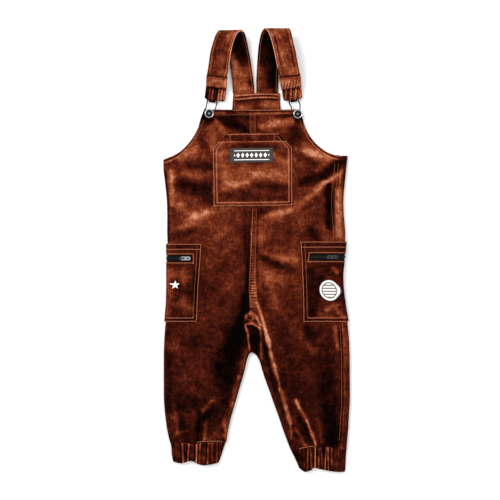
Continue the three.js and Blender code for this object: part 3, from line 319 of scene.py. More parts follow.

# Creases as they lie: a line from (x0, y0) to (x1, y1), how wide and how high it is, troughs being
# negative, and the light and shade painted on it: painted shade in troughs and hollows, painted highlights on
# ridges.
CREASES = [
    # x0, y0, x1, y1, width, height, painted light and shade
    # right breast: folds that run down from the armpit
    (112, 99, 114, 66, 5.0, -3.0, -2.3),
    (114, 66, 113, 36, 5.0, -2.6, -2.0),
    (137, 140, 104, 116, 6.5, -1.8, -1.7),
    (104, 116, 70, 104, 7.0, -1.2, -0.9),
    (130, 118, 104, 103, 4.5, 2.0, 0.95),
    (104, 103, 78, 79, 5.0, 1.9, 0.95),
    (78, 79, 50, 60, 5.5, 1.2, 0.6),
    (96, 148, 62, 168, 6.0, 0.8, 0.5),
    (62, 158, 112, 142, 5.5, 1.6, 1.1),
    (112, 142, 136, 132, 6.0, 0.6, 0.4),
    (60, 186, 66, 160, 9.0, -1.0, -0.8),
    (64, 150, 92, 132, 8.0, -0.8, -0.35),
    (125.5, 92, 127.5, 22, 4.6, 0.8, 1.15),
    (136.5, 128, 137, 60, 2.4, -0.4, -0.9),
    (100, 70, 70, 40, 9.0, 0.5, 0.1),
    (84, 30, 96, 14, 7.0, -1.0, -0.7),
    # left breast
    (-131, 124, -131, 70, 4.5, 0.9, 0.75),
    (-143, 122, -138.5, 62, 2.8, -0.5, -1.8),
    (-138.5, 62, -137, 12, 2.2, -0.4, -1.2),
    (-120, 100, -78, 94, 11.0, -1.3, -0.75),
    (-78, 88, -74, 62, 8.0, -0.8, -0.4),
    (-116, 34, -76, 60, 8.0, 1.2, 0.75),
    (-76, 60, -40, 66, 6.0, 0.7, 0.35),
    (-126, 74, -96, 50, 7.0, 0.6, 0.55),
    (-128, 20, -100, 30, 7.0, -0.7, -0.5),
    (-118, 142, -92, 158, 6.5, 0.7, 0.7),
    (-104, 132, -66, 128, 7.0, -0.8, -0.6),
    (-112, 118, -84, 112, 6.0, 0.6, 0.35),
    (-72, 190, -66, 156, 7.0, 0.6, 0.5),
    (-84, 170, -76, 150, 6.0, -0.7, -0.55),
    # above the bib pocket
    (-58, 207, -18, 186, 6.5, -1.6, -1.5),
    (-44, 212, -12, 205, 5.0, -0.6, -0.8),
    # painted shadow on the bib round and below each button
    (-81, 211, -74, 204, 7.5, -0.4, -3.0),
    (65, 203, 69, 210, 6.5, -0.4, -3.0),
    (-62, 200, -50, 182, 5.0, 0.7, 0.55),
    (10, 190, 56, 200, 8.0, 1.0, 1.05),
    (0, 186, 36, 188, 5.0, -0.5, -0.5),
    (30, 206, 62, 210, 3.5, -0.6, -0.6),
    # belly, each side of the centre seam
    (-2, 58, 30, 64, 5.0, -0.6, -0.6),
    (16, 52, 50, 62, 6.0, 0.9, 0.7),
    (4, 40, 12, -4, 7.0, 0.4, 0.4),
    (-16, 56, -16, 0, 6.0, -0.6, -0.55),
    (8, -12, 34, -23, 5.5, -1.7, -1.1),
    (34, -23, 56, -31, 6.5, -1.2, -0.7),
    (24, -12, 62, -16, 6.0, 0.7, 0.6),
    (12, -34, 40, -50, 7.0, 0.7, 0.45),
    (-12, -8, -12, -60, 5.5, -1.3, -0.95),
    (-56, -10, -40, -60, 10.0, 0.4, 0.1),
    (18, -46, 30, -88, 7.0, 0.5, 0.35),
    (10, -52, 12, -88, 5.0, -0.5, -0.3),
    # the deep fold from the crotch down the left leg
    (-14, -62, -16, -92, 6.0, -1.9, -1.0),
    (-17, -92, -26, -118, 7.5, -3.4, -1.7),
    (-26, -118, -37, -152, 11.0, -3.4, -1.7),
    (-37, -152, -45, -200, 12.0, -1.9, -0.8),
    (-45, -200, -50, -236, 9.0, -0.9, -0.5),
    (-34, -130, -50, -190, 24.0, 0.0, -0.45),
    (-18, -76, -12, -86, 3.0, 1.2, 0.9),
    (-60, -178, -44, -196, 8.0, -0.8, -0.9),
    (-16, -158, -27, -196, 4.2, 1.0, 0.8),
    (-27, -196, -38, -240, 4.2, 1.2, 0.75),
    (-36, -236, -48, -292, 4.5, 0.8, 0.55),
    # crotch: the bulge where four seams meet, with painted highlights, and the hollow below it, painted
    # nearly black as shade
    (-19, -112, -17, -102, 2.8, 1.8, 1.3),
    (-17, -102, -9, -96.5, 3.0, 1.8, 1.5),
    (-9, -96.5, 0, -104, 3.0, 1.8, 1.3),
    (0, -104, 6, -117, 2.4, 1.6, 1.2),
    (-15, -106, -3, -108, 4.5, 0.6, 0.9),
    (-12, -104.5, -8, -106, 1.4, -0.8, -1.8),
    (-3, -108, 0, -111, 1.3, -0.8, -1.6),
    (-18, -115.5, -7, -113.5, 1.5, 1.2, 1.9),
    (-7, -113.5, 5.5, -122, 1.5, 1.2, 2.2),
    (-13, -119.5, -2, -121, 2.0, -2.0, -2.4),
    (-2.5, -124, -3.0, -157, 5.6, -4.2, -4.6),
    (-17.5, -117, -13, -133, 1.7, 1.4, 2.2),
    (-13, -133, -10.5, -155, 1.7, 1.4, 2.2),
    (6, -124, 8, -170, 1.8, 0.6, 1.0),
    (9.6, -126, 13.5, -162, 1.5, -0.9, -1.7),
    (-19, -72, -21.5, -104, 3.0, -1.0, -1.8),
    # right leg
    (1, -82, 9, -106, 2.0, 1.4, 1.8),
    (9, -106, 14, -126, 2.2, 1.5, 2.0),
    (14, -126, 20.5, -150, 2.7, 1.7, 2.5),
    (20.5, -150, 24, -168, 2.3, 1.4, 1.4),
    (21, -160, 30, -192, 4.6, 1.3, 1.0),
    (27, -176, 35.5, -206, 1.5, 0.9, 1.6),
    (35.5, -206, 35, -219, 1.5, 0.6, 0.9),
    (36, -214, 45, -243, 4.0, 1.3, 1.1),
    (45, -243, 52.5, -268, 3.2, 1.4, 1.6),
    (52.5, -268, 54, -292, 2.6, 0.9, 0.8),
    (14, -150, 22, -190, 3.0, -1.3, -1.2),
    (22, -190, 42, -252, 3.5, -1.1, -0.9),
    (61, -232, 66, -244, 2.8, 1.3, 1.6),
    (66, -244, 78, -264, 3.0, 1.7, 1.1),
    (78, -264, 92, -304, 2.4, 2.1, 1.9),
    (66, -262, 84, -298, 5.0, -1.5, -1.0),
    (60, -276, 76, -304, 3.0, 0.9, 0.8),
    (58, -286, 84, -300, 3.0, -0.8, -0.6),
    (104, -150, 108, -190, 10.0, -1.1, -0.4),
    (109, -190, 113, -250, 10.0, -2.2, -1.0),
    (113, -250, 117, -302, 9.0, -2.8, -1.6),
    (96, -262, 102, -300, 4.0, 1.0, 0.4),
    (56, -128, 86, -150, 8.0, 0.6, 0.35),
    (46, -150, 84, -168, 7.0, -0.5, -0.35),
    (78, -122, 90, -146, 7.0, -0.8, -0.8),
    (122, -120, 126, -152, 4.0, 1.0, 0.9),
    (129, -122, 130, -150, 2.5, -0.8, -1.0),
    # left leg
    (-136, -170, -136, -250, 5.0, -0.5, -0.35),
    (-120, -150, -84, -196, 16.0, 0.4, 0.25),
    (-128, -196, -100, -202, 5.0, 0.5, 0.4),
    (-130, -216, -96, -214, 5.0, 0.4, 0.35),
    (-124, -244, -80, -232, 8.0, -0.6, -0.4),
    (-92, -262, -70, -234, 3.2, 0.9, 0.75),
    (-70, -234, -48, -228, 3.2, 0.7, 0.45),
    (-84, -262, -64, -248, 6.0, -0.8, -0.6),
    (-88, -254, -92, -300, 5.0, -2.0, -1.5),
    (-78, -264, -82, -300, 3.2, 1.4, 0.7),
    (-128, -240, -122, -280, 3.2, 1.0, 0.65),
    (-116, -262, -106, -300, 6.0, -1.4, -0.9),
    (-124, -284, -106, -280, 3.0, 1.2, 1.0),
    (-66, -284, -52, -270, 4.0, 0.6, 0.5),
    (-50, -262, -46, -298, 3.0, 0.8, 0.8),
    (-80, -294, -50, -288, 4.0, 0.8, 0.5),
]
# Creases pressed into the back, which hides underneath: shallow, since it lies on the surface
BACK_CREASES = [
    (-96, 60, -40, 92, 8, 0.5, 0.5),
    (30, 96, 92, 58, 9, 0.6, -0.5),
    (-70, -40, -22, -84, 8, 0.6, 0.4),
    (24, -80, 66, -44, 8, 0.6, -0.4),
    (-100, -170, -52, -156, 9, 0.5, 0.5),
    (44, -150, 104, -172, 9, 0.5, -0.5),
    (-104, -246, -70, -290, 7, 0.5, 0.4),
    (84, -240, 112, -296, 7, 0.5, 0.5),
]


def reach_of(ring, roll=ROLL):
    """How far in from the outer fold, in plan, a ring coordinate lies."""
    return np.where(ring < roll, roll * (1 - np.cos(np.clip(ring / roll, 0, 1) * math.pi / 2)), ring)


def lift_of(ring, roll=ROLL):
    """How far up a rolled side is, from 0 at the fold to 1 where the cloth lies flat."""
    return np.where(ring < roll, np.sin(np.clip(ring / roll, 0, 1) * math.pi / 2), 1.0)


def ring_of(reach):
    """The ring coordinate of a place that far in from the outer fold."""
    return np.where(reach < ROLL, ROLL / (math.pi / 2) * np.arccos(1 - np.clip(reach, 0, ROLL) / ROLL), reach)


def folded(ring, width, roll=ROLL):
    """A ring coordinate brought to the near side of the inner fold, how far in it lies and how far up."""
    ring = np.where(ring > width, ring - 2 * width, ring)
    ring = np.where(ring < -width, ring + 2 * width, ring)
    along = np.abs(ring)
    from_inner = width - along
    near_inner = from_inner < along
    reach = np.where(near_inner, width - reach_of(from_inner, roll), reach_of(along, roll))
    lift = np.where(near_inner, lift_of(from_inner, roll), lift_of(along, roll))
    return ring, reach, lift


def creased(x, y, table):
    """Height, and the painted light and shade with the pile's lie, that a table of creases gives at each
    place.
    """
    height, nap_and_shading = np.zeros_like(x), np.zeros_like(x)
    for x0, y0, x1, y1, width, rise, crease_shading in table:
        off, along = off_segment(x, y, x0, y0, x1, y1)
        # a crease is widest in its middle and wavers along its length
        wide = width * (0.8 + 0.35 * np.sin(math.pi * along)) * (1 + 0.12 * np.sin(along * 9 + x0))
        shape = bell(off, wide)
        height += rise * shape
        nap_and_shading += crease_shading * shape
    return height, nap_and_shading


def ripple(x, y, seed, size):
    """A small even unevenness of the cloth: a sum of waves that never repeats in step."""
    rng = np.random.default_rng(seed)
    total = np.zeros_like(x)
    for _ in range(9):
        angle, length, phase = rng.uniform(0, math.pi), size * rng.uniform(0.6, 1.9), rng.uniform(0, 6.3)
        total += np.sin((x * math.cos(angle) + y * math.sin(angle)) * 2 * math.pi / length + phase)
    return total / 9


def pocket_rise(side, y, ring):
    """How far the cloth beside and over a cargo pocket's underside is lifted."""
    seam = SEAM_RING[side]
    across = np.maximum(seam - POCKET_HALF - ring, ring - seam - POCKET_HALF)
    past = np.maximum.reduce([across, y - POCKET_TOP[side], POCKET_FOOT - y, np.zeros_like(y)])
    return POCKET_LIFT * (1 - step(past, 1, 12))


def top_height(x, y, edge):
    """Height of the garment's top, at a distance from its nearest edge."""
    fold, _ = creased(x, y, CREASES)
    height = LAY_HEIGHT + ROLL_LIFT * bell(edge, ROLL_SPREAD) + fold + 0.5 * ripple(x, y, 3, 38)
    beyond = np.maximum(back_edge[LEFT](y) - x, x - back_edge[RIGHT](y))
    free = step(beyond, 5, 34) * step(y, 144, 176)
    return np.maximum(height, LEAST_HEIGHT) - 3 * free


# Tone over the whole length, from the cuffs up to the bib: the legs are darker than the chest
LENGTHWISE_TONE = [(-340, -0.42), (-300, -0.50), (-230, -0.50), (-160, -0.42), (-110, -0.22), (-40, -0.10), (20, -0.02)]
LENGTHWISE_TONE += [(70, 0.0), (130, 0.02), (200, -0.08), (219, -0.08)]

# How far the two rows of stitches lie to the left and right of the centre seam
BAND_SIDES = [
    # y, left, right
    (-86, -4.6, 6.4),
    (-63, -6.0, 5.0),
    (-41, -5.4, 3.8),
    (-19, -4.3, 3.5),
    (11, -3.6, 3.1),
    (41, -2.2, 4.0),
    (66, -1.4, 4.3),
    (120, -3.9, 3.4),
]


def seam_light_and_shade(x, y):
    """Painted highlight on the raised centre seam between its two rows of stitches, drawn into small puckers,
    and painted shade in the gutters beside it.
    """
    low, high = read_off(BAND_SIDES, y, 1), read_off(BAND_SIDES, y, 2)
    off = x - centre_seam(y) - (low + high) / 2
    half = (high - low) / 2
    strength = (0.1 + 0.75 * step(-y, -20, 80)) * (1 - 0.92 * step(y, 100, 125))
    band = np.exp(-((off / half) ** 4)) * strength * step(y, -96, -86)
    pucker = 0.55 + 0.6 * np.cos(y * 2 * math.pi / 4.2 + 0.8 * np.sin(y * 0.31))
    line = bell(off + half, 0.9) * (0.3 + 1.2 * step(-y, -66, -20))
    gutter_shade = bell(np.abs(off) - half - 2.6, 1.6) * (0.35 + 0.5 * (off < 0) * step(-y, -40, 60))
    return 2.3 * band * pucker + line * step(y, -96, -86) - gutter_shade * step(y, -100, -80)


def skin(side, y, ring):
    """Points of the garment's outside, and the lie of the pile there with its painted light and shade."""
    y, ring = np.broadcast_arrays(np.asarray(y, float), np.asarray(ring, float))
    out = outer[side](y)
    on_leg = y < CROTCH[1]
    width = np.where(on_leg, np.abs(inner[side](y) - out), 1e6)
    ring, reach, lift = folded(ring, width)
    under = ring < 0
    x = out + INWARD[side] * reach
    apex = CROTCH[0] - INWARD[side] * HALF_GAP
    lift = np.where(on_leg, lift, lift * lift_of(ring_of(np.hypot(x - apex, y - CROTCH[1]))))
    other = outer[RIGHT if side == LEFT else LEFT](y)
    across = np.where(on_leg, width - reach, np.abs(other - x))
    edge = np.minimum(reach, across)
    rise = pocket_rise(side, y, ring)
    flat = np.where(under, rise, top_height(x, y, edge) + rise)
    z = ROLL_MIDDLE + (flat - ROLL_MIDDLE) * lift
    nap_and_shading = np.where(under, creased(x, y, BACK_CREASES)[1], creased(x, y, CREASES)[1])
    nap_and_shading = nap_and_shading + read_off(LENGTHWISE_TONE, y) + np.where(under, 0, seam_light_and_shade(x, y))
    return np.stack([x, y + 0 * x, z], -1), nap_and_shading


def inner_ring(side, y):
    """Ring coordinate of the inner fold of the leg, or of the centre seam above the crotch."""
    y = np.asarray(y, float)
    at = np.where(y < CROTCH[1], inner[side](y), centre_seam(y))
    return np.abs(at - outer[side](y))


def seam_ring(side, y):
    """Ring coordinate of the front panel's inner edge."""
    y = np.asarray(y, float)
    from_outer = np.abs(leg_seam[side](y) - outer[side](y))
    width = inner_ring(side, y)
    on_leg = width - ring_of(width - from_outer)
    return np.where(y >= CROSS_SEAM, width, np.where(y >= CROTCH[1], from_outer, on_leg))


def levels(through, gap):
    """Values through given ones, evenly about a gap apart between them."""
    out = [through[0]]
    for a, b in zip(through, through[1:]):
        parts = max(1, math.ceil(abs(b - a) / gap - 0.01))
        out += [a + (b - a) * i / parts for i in range(1, parts + 1)]
    return np.array(out)


def grid_faces(rows, columns, flip=False, keep=None):
    """Faces of a grid of points, turned so that they face out."""
    j, i = np.meshgrid(np.arange(rows - 1), np.arange(columns - 1), indexing="ij")
    a = (j * columns + i).ravel()
    if keep is not None:
        a = a[keep(j, i).ravel()]
    quad = [a, a + 1, a + 1 + columns, a + columns] if flip else [a, a + columns, a + columns + 1, a + 1]
    return np.stack(quad, -1)


def stacked(rows):
    """Rows of points and of the pile's lie with its painted light and shade, as two grids."""
    points, nap_and_shading = zip(*rows)
    return np.array(points), np.array(nap_and_shading)


def piece(name, points, faces, material, nap_and_shading=None, wales=None):
    """A mesh object from points in mm, with the lie of its pile and its painted light and shade as one value,
    and a map of its wales.
    """
    points = np.asarray(points, float).reshape(-1, 3)
    mesh = bpy.data.meshes.new(name)
    moved = (points + np.array([*SHIFT, 0])) * 0.001
    mesh.from_pydata(moved.tolist(), [], [list(map(int, face)) for face in faces])
    if nap_and_shading is not None:
        values = mesh.attributes.new("nap_and_shading", "FLOAT", "POINT")
        values.data.foreach_set("value", np.tanh(np.asarray(nap_and_shading, np.float32).ravel()))
    if wales is not None:
        corners = np.empty(len(mesh.loops), np.int32)
        mesh.loops.foreach_get("vertex_index", corners)
        layer = mesh.uv_layers.new(name="wales")
        layer.data.foreach_set("uv", np.asarray(wales, np.float32).reshape(-1, 2)[corners].ravel())
    mesh.polygons.foreach_set("use_smooth", [True] * len(mesh.polygons))
    mesh.materials.append(material)
    mesh.update()
    obj = bpy.data.objects.new(name, mesh)
    bpy.context.scene.collection.objects.link(obj)
    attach(obj, "garment")
    return obj


def wall(obj, thickness, offset=-1.0):
    """Gives a skin the thickness of its cloth, in mm, inwards unless the offset says otherwise."""
    shell = obj.modifiers.new("cloth", "SOLIDIFY")
    shell.thickness = thickness * 0.001
    shell.offset = offset
    shell.use_even_offset = False


def joined(grids):
    """One set of points and faces from grids that share edges."""
    points = np.concatenate([g[0].reshape(-1, 3) for g in grids])
    nap_and_shading = np.concatenate([g[1].ravel() for g in grids])
    wales = np.concatenate([g[2].reshape(-1, 2) for g in grids])
    starts = np.cumsum([0] + [g[0].size // 3 for g in grids[:-1]])
    faces = np.concatenate([g[3] + start for g, start in zip(grids, starts)])
    keys = np.round(points * 100).astype(int)
    _, first, back = np.unique(keys, axis=0, return_index=True, return_inverse=True)
    faces = back.ravel()[faces]
    return points[first], nap_and_shading[first], wales[first], faces


# Front panels.
# Bib, belly and leg in one piece of corduroy on each side, sewn together down the middle. The armhole
# and the top of the bib are hemmed and stitched; the lower edge goes into the cuff.
CLOTH = 1.9
CHEST = 120.0
PANEL_GRAIN = 1.75
ROLL_GRAIN = 1.3
FAN_DEPTH = 95.0  # from the bib's top to the chest, where the rows fan out to the armhole
MIDDLE_WIDTH = 76.0  # from under the bib's corner to the centre seam
LEG_TOP = -124.0  # from here down the columns draw in with the leg
HEM_LINE = {
    # x, y of the seam between leg and cuff
    LEFT: smooth([(-135, -298.4), (-126, -300.5), (-112, -298.4), (-98, -301), (-84, -298.5), (-47, -297.4)]),
    RIGHT: smooth(
        [(64.3, -310.4), (73.6, -307.8), (86.6, -306), (93.8, -307.7), (106.2, -304.8), (139.3, -310.6)]
    ),
}


def hemmed(side, points):
    """The points of a leg, with its lower edge drawn to the line of the cuff's seam."""
    x, y = points[..., 0], points[..., 1]
    shift = HEM_LINE[side](x) - HEM[side]
    points[..., 1] = y + shift * step(-y, -HEM[side] - 24, -HEM[side])
    return points


def drawn_in(ring, width, width_at_pocket):
    """A ring coordinate of the leg's top, drawn in with the width of the leg."""
    share = (width - 2 * ROLL) / (width_at_pocket - 2 * ROLL)
    return ROLL + (ring - ROLL) * share


def front_panel(side):
    start = SEAM_RING[side] + HALF_GAP
    rolled = np.arange(start, ROLL, ROLL_GRAIN) if start < ROLL else np.array([start])
    armhole = smooth(ARMHOLE[side])
    corner_x = ARMHOLE[side][-1][0] if side == LEFT else ARMHOLE[side][0][0]
    corner = abs(corner_x - float(outer[side](CHEST)))
    leg_width = float(seam_ring(side, LEG_TOP))
    first, middle = round((corner - rolled[-1]) / PANEL_GRAIN), round(MIDDLE_WIDTH / PANEL_GRAIN)

    def rings(y):
        last = float(seam_ring(side, y)) - (HALF_GAP if y < CROTCH[1] else 0.0)
        at_corner = corner if y > LEG_TOP else drawn_in(corner, last, leg_width)
        beside = np.linspace(rolled[-1], at_corner, first + 1)[1:]
        return np.concatenate([rolled, beside, np.linspace(at_corner, last, middle + 1)[1:]])

    fan = round(FAN_DEPTH / PANEL_GRAIN)
    at_chest = rings(CHEST)
    x = float(outer[side](CHEST)) + INWARD[side] * reach_of(np.abs(at_chest))
    in_bib = np.arange(len(x)) >= len(rolled) + first - 1
    top = np.where(in_bib, BIB_TOP - 1.1 * np.sin(np.clip((x + 81) / 150, 0, 1) * math.pi), armhole(x))
    rows = []
    for j in range(fan):
        y = top + (CHEST - top) * j / fan
        ring = np.where(at_chest < ROLL + 2, at_chest, ring_of(np.abs(x - outer[side](y))))
        ring[-1:] = seam_ring(side, y[-1:])
        rows.append(skin(side, y, ring))
    for y in levels([CHEST, CROSS_SEAM, CROTCH[1], HEM[side] + 0.2], PANEL_GRAIN):
        rows.append(skin(side, y, rings(y)))
    points, nap_and_shading = stacked(rows)
    points = hemmed(side, points)
    # The hem along the armhole and the bib is doubled, so its edge stands up a little
    down = np.linalg.norm(points - points[:1], axis=-1)
    points[..., 2] += 0.35 * bell(down - 5.0, 2.2) - 0.5 * bell(down, 1.3)
    # Painted highlights on the hem's raised edge and on its outer edge, with painted shade in the dip between
    # them
    nap_and_shading += 0.8 * bell(down - 5.6, 1.2) - 0.5 * bell(down - 2.6, 1.4) + 0.7 * bell(down, 1.2)
    faces = grid_faces(*nap_and_shading.shape, flip=side == RIGHT)
    obj = piece(f"cloth_front_{side}", points, faces, corduroy, nap_and_shading=nap_and_shading, wales=points[..., :2])
    wall(obj, CLOTH)
    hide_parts(f"front_{side}")


for side in (LEFT, RIGHT):
    front_panel(side)

# Back panels.
# Seat and leg in one piece on each side. They lie on the surface, roll up round the outer folds to the
# side seams and come round the inner folds onto the top of each leg, as far as the inner leg seams.
WAIST = smooth([(-134, 138.2), (0, 140), (134, 146)])
BACK_GRAIN = 3.0
BACK_COLUMNS = 38
INNER_ROLL_GRAIN = 1.5
STRIP_GRAIN = 2.0
STRIP_COLUMNS = 12


def back_panel(side):
    seam = SEAM_RING[side]
    rolled = np.linspace(-ROLL, seam - HALF_GAP, max(5, round((seam + ROLL) / ROLL_GRAIN)))
    inner_roll = np.arange(0, ROLL + 0.1, INNER_ROLL_GRAIN)

    def rings(y):
        far = -float(inner_ring(side, y))
        return np.concatenate([far + inner_roll, np.linspace(far + ROLL, -ROLL, BACK_COLUMNS)[1:-1], rolled])

    at_chest = rings(CHEST)
    x = float(outer[side](CHEST)) + INWARD[side] * reach_of(np.abs(at_chest))
    waist = WAIST(x)
    rows = []
    for y in (waist, waist * 0.66 + CHEST * 0.34, waist * 0.33 + CHEST * 0.67):
        ring = at_chest.copy()
        ring[0] = -float(inner_ring(side, y[0]))
        rows.append(skin(side, y, ring))
    for y in levels([CHEST, 22, LEG_TOP, CROTCH[1], HEM[side] + 0.2], BACK_GRAIN):
        rows.append(skin(side, y, rings(y)))
    points, nap_and_shading = stacked(rows)
    points = hemmed(side, points)
    # Painted highlight along the side seam where it comes up on the top, and the whole panel a little lighter
    nap_and_shading += 0.5 * bell(np.linalg.norm(points - points[:, -1:], axis=-1), 2.0) + 0.25
    under = (points, nap_and_shading, points[..., :2], grid_faces(*nap_and_shading.shape, flip=side == RIGHT))
    # The strip that comes round the inner fold onto the top of the leg
    rows = []
    for k, y in enumerate(levels([CROSS_SEAM, CROTCH[1], HEM[side] + 0.2], STRIP_GRAIN)):
        last = float(inner_ring(side, y))
        from_seam = min(float(seam_ring(side, y)) + (HALF_GAP if k else 0), last)
        rows.append(skin(side, y, np.linspace(from_seam, last, STRIP_COLUMNS)))
    points, nap_and_shading = stacked(rows)
    points = hemmed(side, points)
    strip = (points, nap_and_shading, points[..., :2], grid_faces(*nap_and_shading.shape, flip=side == RIGHT))
    points, nap_and_shading, wales, faces = joined([under, strip])
    obj = piece(f"cloth_back_{side}", points, faces, corduroy, nap_and_shading=nap_and_shading, wales=wales)
    wall(obj, CLOTH)
    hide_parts(f"back_{side}")


for side in (LEFT, RIGHT):
    back_panel(side)


# Upper back.
# One piece of the same cloth under the bib, from the waist seam up to a doubled band, which shows
# between the straps. The band is stitched twice along its top and down both ends.
def back_bib():
    rows = levels([243.5, 205, 172, 158, 148, 143.2], 1.6)
    columns = np.linspace(0, 1, 60)
    y = rows[:, None] + 0 * columns
    x = back_edge[LEFT](y) + (back_edge[RIGHT](y) - back_edge[LEFT](y)) * columns
    y = np.maximum(y, WAIST(x) + 0.3)
    band = step(y, 212, 216)
    z = 1.9 + 0.5 * band + 0.28 * ripple(x, y, 5, 18) * band + 0.05 * ripple(x, y, 6, 40)
    edge = np.minimum(x - back_edge[LEFT](y), back_edge[RIGHT](y) - x)
    z += 0.35 * bell(edge - 4, 2) * band - 0.15 * bell(edge, 1.2)
    # Painted shade on the band's top under the left strap
    nap_and_shading = 0.15 - 0.5 * step(np.abs(x + 12), 30, 14) * step(y, 236, 228)
    # Two painted highlights where the pile catches the light, and painted shade between them
    nap_and_shading = nap_and_shading + bell(x + 22, 12) * bell(y - 220.5, 4.5)
    nap_and_shading += 0.9 * bell(x - 14, 20) * bell(y - 226, 5) - 0.5 * bell(x - 2, 8) * bell(y - 228, 7)
    # Painted highlights and shade in rows along the stitched ridges of the band, rising towards its middle
    rise = 3.2 * bell(x - 12, 34)
    for level, strength in ((239.0, 1.5), (234.2, 1.3), (236.6, -1.4), (231.0, -1.5)):
        nap_and_shading += strength * bell(y - level - rise, 1.0)
    points = np.stack([x, y, z], -1)
    faces = grid_faces(*y.shape)
    obj = piece("cloth_back_bib", points, faces, corduroy, nap_and_shading=nap_and_shading, wales=np.stack([x, y], -1))
    wall(obj, 1.6)
    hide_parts("back_bib")


back_bib()


# Ankle cuffs.
# Casings of the same cloth over an elastic band, drawn into sharp uneven gathers along the top. Each is
# a front and a back half, joined at the side seam and the inner leg seam, and sewn to the leg.
CUFF_ROLL = 6.0
CUFF_HEIGHT = 7.8
CUFFS = {
    # edges: y, left, right; foot: x, y of the lower edge; ridges: x of each gather; sharp: its strength
    LEFT: {
        "top": -299.0,
        "edges": [(-299, -133.6, -47.4), (-308, -132.3, -50.4), (-318, -131.8, -53.4), (-331, -129.6, -58.4)],
        "foot": [(-133, -327), (-129.4, -328), (-115.5, -330.2), (-101.5, -326.7), (-87.6, -332.5)]
        + [(-75.2, -332.9), (-58.1, -329.1), (-52, -326)],
        "ridges": [-124.5, -114.7, -105.9, -100, -93.3, -88.5, -81.5, -75.6, -69.5, -61.7, -56.5],
        "sharp": [0.5, 1.0, 1.15, 0.5, 1.3, 0.8, 0.4, 0.9, 0.5, 0.8, 0.5],
    },
    RIGHT: {
        "top": -309.0,
        "edges": [(-309, 53.6, 139.5), (-318, 56.0, 139.0), (-328, 59.4, 138.6), (-343, 66.0, 137.6)],
        "foot": [(58, -330), (62.8, -334.8), (74.4, -343.2), (84, -341.3), (89.1, -337.4), (100.8, -339.9)]
        + [(126.3, -343.8), (138.7, -343.2)],
        "ridges": [66.6, 73.6, 78.9, 84.5, 90.7, 96.3, 100.8, 106.8, 110.8, 116.3, 122],
        "sharp": [0.5, 0.7, 1.0, 0.9, 1.3, 1.0, 0.8, 1.2, 1.1, 0.8, 0.4],
    },
}
CUFF_ROWS = 22
CUFF_COLUMNS = {"front": 110, "back": 90}


def cuff_skin(side, down, ring):
    """Points of a cuff: down goes from 0 at the seam to 1 at its lower edge."""
    cuff = CUFFS[side]
    edge, foot = both_sides(cuff["edges"]), smooth(cuff["foot"])
    y = cuff["top"] + (cuff["edges"][-1][0] - cuff["top"]) * down + 0 * ring
    low, high = edge[LEFT](y), edge[RIGHT](y)
    width = high - low
    ring, reach, lift = folded(ring, width, CUFF_ROLL)
    under = ring < 0
    x = (low if side == LEFT else high) + INWARD[side] * reach
    y = HEM_LINE[side](x) - 0.5 + (foot(x) - HEM_LINE[side](x)) * down
    # Gathers lean a little and fork towards the seam
    # Painted highlights on the crests of the gathers with painted shade beside them, and painted light along
    # the top seam; the left cuff is lighter as a whole
    height, nap_and_shading = -0.5 + 0 * x, -0.75 + 0 * x
    for k, (at, sharp) in enumerate(zip(cuff["ridges"], cuff["sharp"])):
        lean = 2.2 * math.sin(k * 2.4) * (down - 0.5)
        crest = bell(x - at - lean, 1.9)
        height += 1.7 * sharp * crest * (0.75 + 0.25 * np.sin(down * 5 + k))
        crest_highlight = bell(x - at - lean - 0.3, 1.15)
        nap_and_shading += 1.25 * sharp**2 * crest_highlight - 0.6 * sharp * bell(x - at - lean + 2.6, 1.5)
    nap_and_shading += (0.3 if side == LEFT else -0.05) + 0.9 * ripple(x * 2, y * 0.5, 8, 9)
    nap_and_shading += 0.6 * bell(down, 0.06)
    hem = bell(down - 0.96, 0.05)
    height += 0.3 * hem - 0.5 * bell(down, 0.07)
    flat = np.where(under, 0.0, CUFF_HEIGHT + height)
    z = CUFF_HEIGHT / 2 + (flat - CUFF_HEIGHT / 2) * lift
    return np.stack([x, y, z], -1), np.where(under, 0.0, nap_and_shading)


def cuff_half(side, face):
    top, edges = CUFFS[side]["top"], CUFFS[side]["edges"]
    rising = edges[::-1]
    seam_in = float(inner_ring(side, HEM[side]) - seam_ring(side, HEM[side]))
    rows = []
    for down in np.linspace(0, 1, CUFF_ROWS):
        y = top + (edges[-1][0] - top) * down
        width = read_off(rising, y, 2) - read_off(rising, y, 1)
        if face == "front":
            ring = np.linspace(SEAM_RING[side] + HALF_GAP, width - seam_in - HALF_GAP, CUFF_COLUMNS[face])
        else:
            ring = np.linspace(-width - seam_in + HALF_GAP, SEAM_RING[side] - HALF_GAP, CUFF_COLUMNS[face])
        rows.append(cuff_skin(side, down, ring))
    points, nap_and_shading = stacked(rows)
    faces = grid_faces(*nap_and_shading.shape, flip=side == RIGHT)
    obj = piece(f"cloth_cuff_{face}_{side}", points, faces, corduroy, nap_and_shading=nap_and_shading, wales=points[..., :2])
    wall(obj, 1.7)
    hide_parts(f"cuff_{face}_{side}")


for side in (LEFT, RIGHT):
    for face in ("front", "back"):
        cuff_half(side, face)


# Bib pocket and its label.
# A patch pocket with its upper corners cut off, hemmed along the top and stitched twice round the other
# edges. A woven charcoal label is sewn on below the hem, with a plain woven figure of its own.
POCKET = {"x": -5.2, "y": 68.0, "width": 123.0, "height": 112.5, "corner": (20.5, 22.0), "turn": 0.012}


def offset_out(points, distance):
    """The points of a grid moved out along its normals, in mm."""
    normal = unit(np.cross(np.gradient(points, axis=0), np.gradient(points, axis=1)))
    return points + normal * distance[..., None]


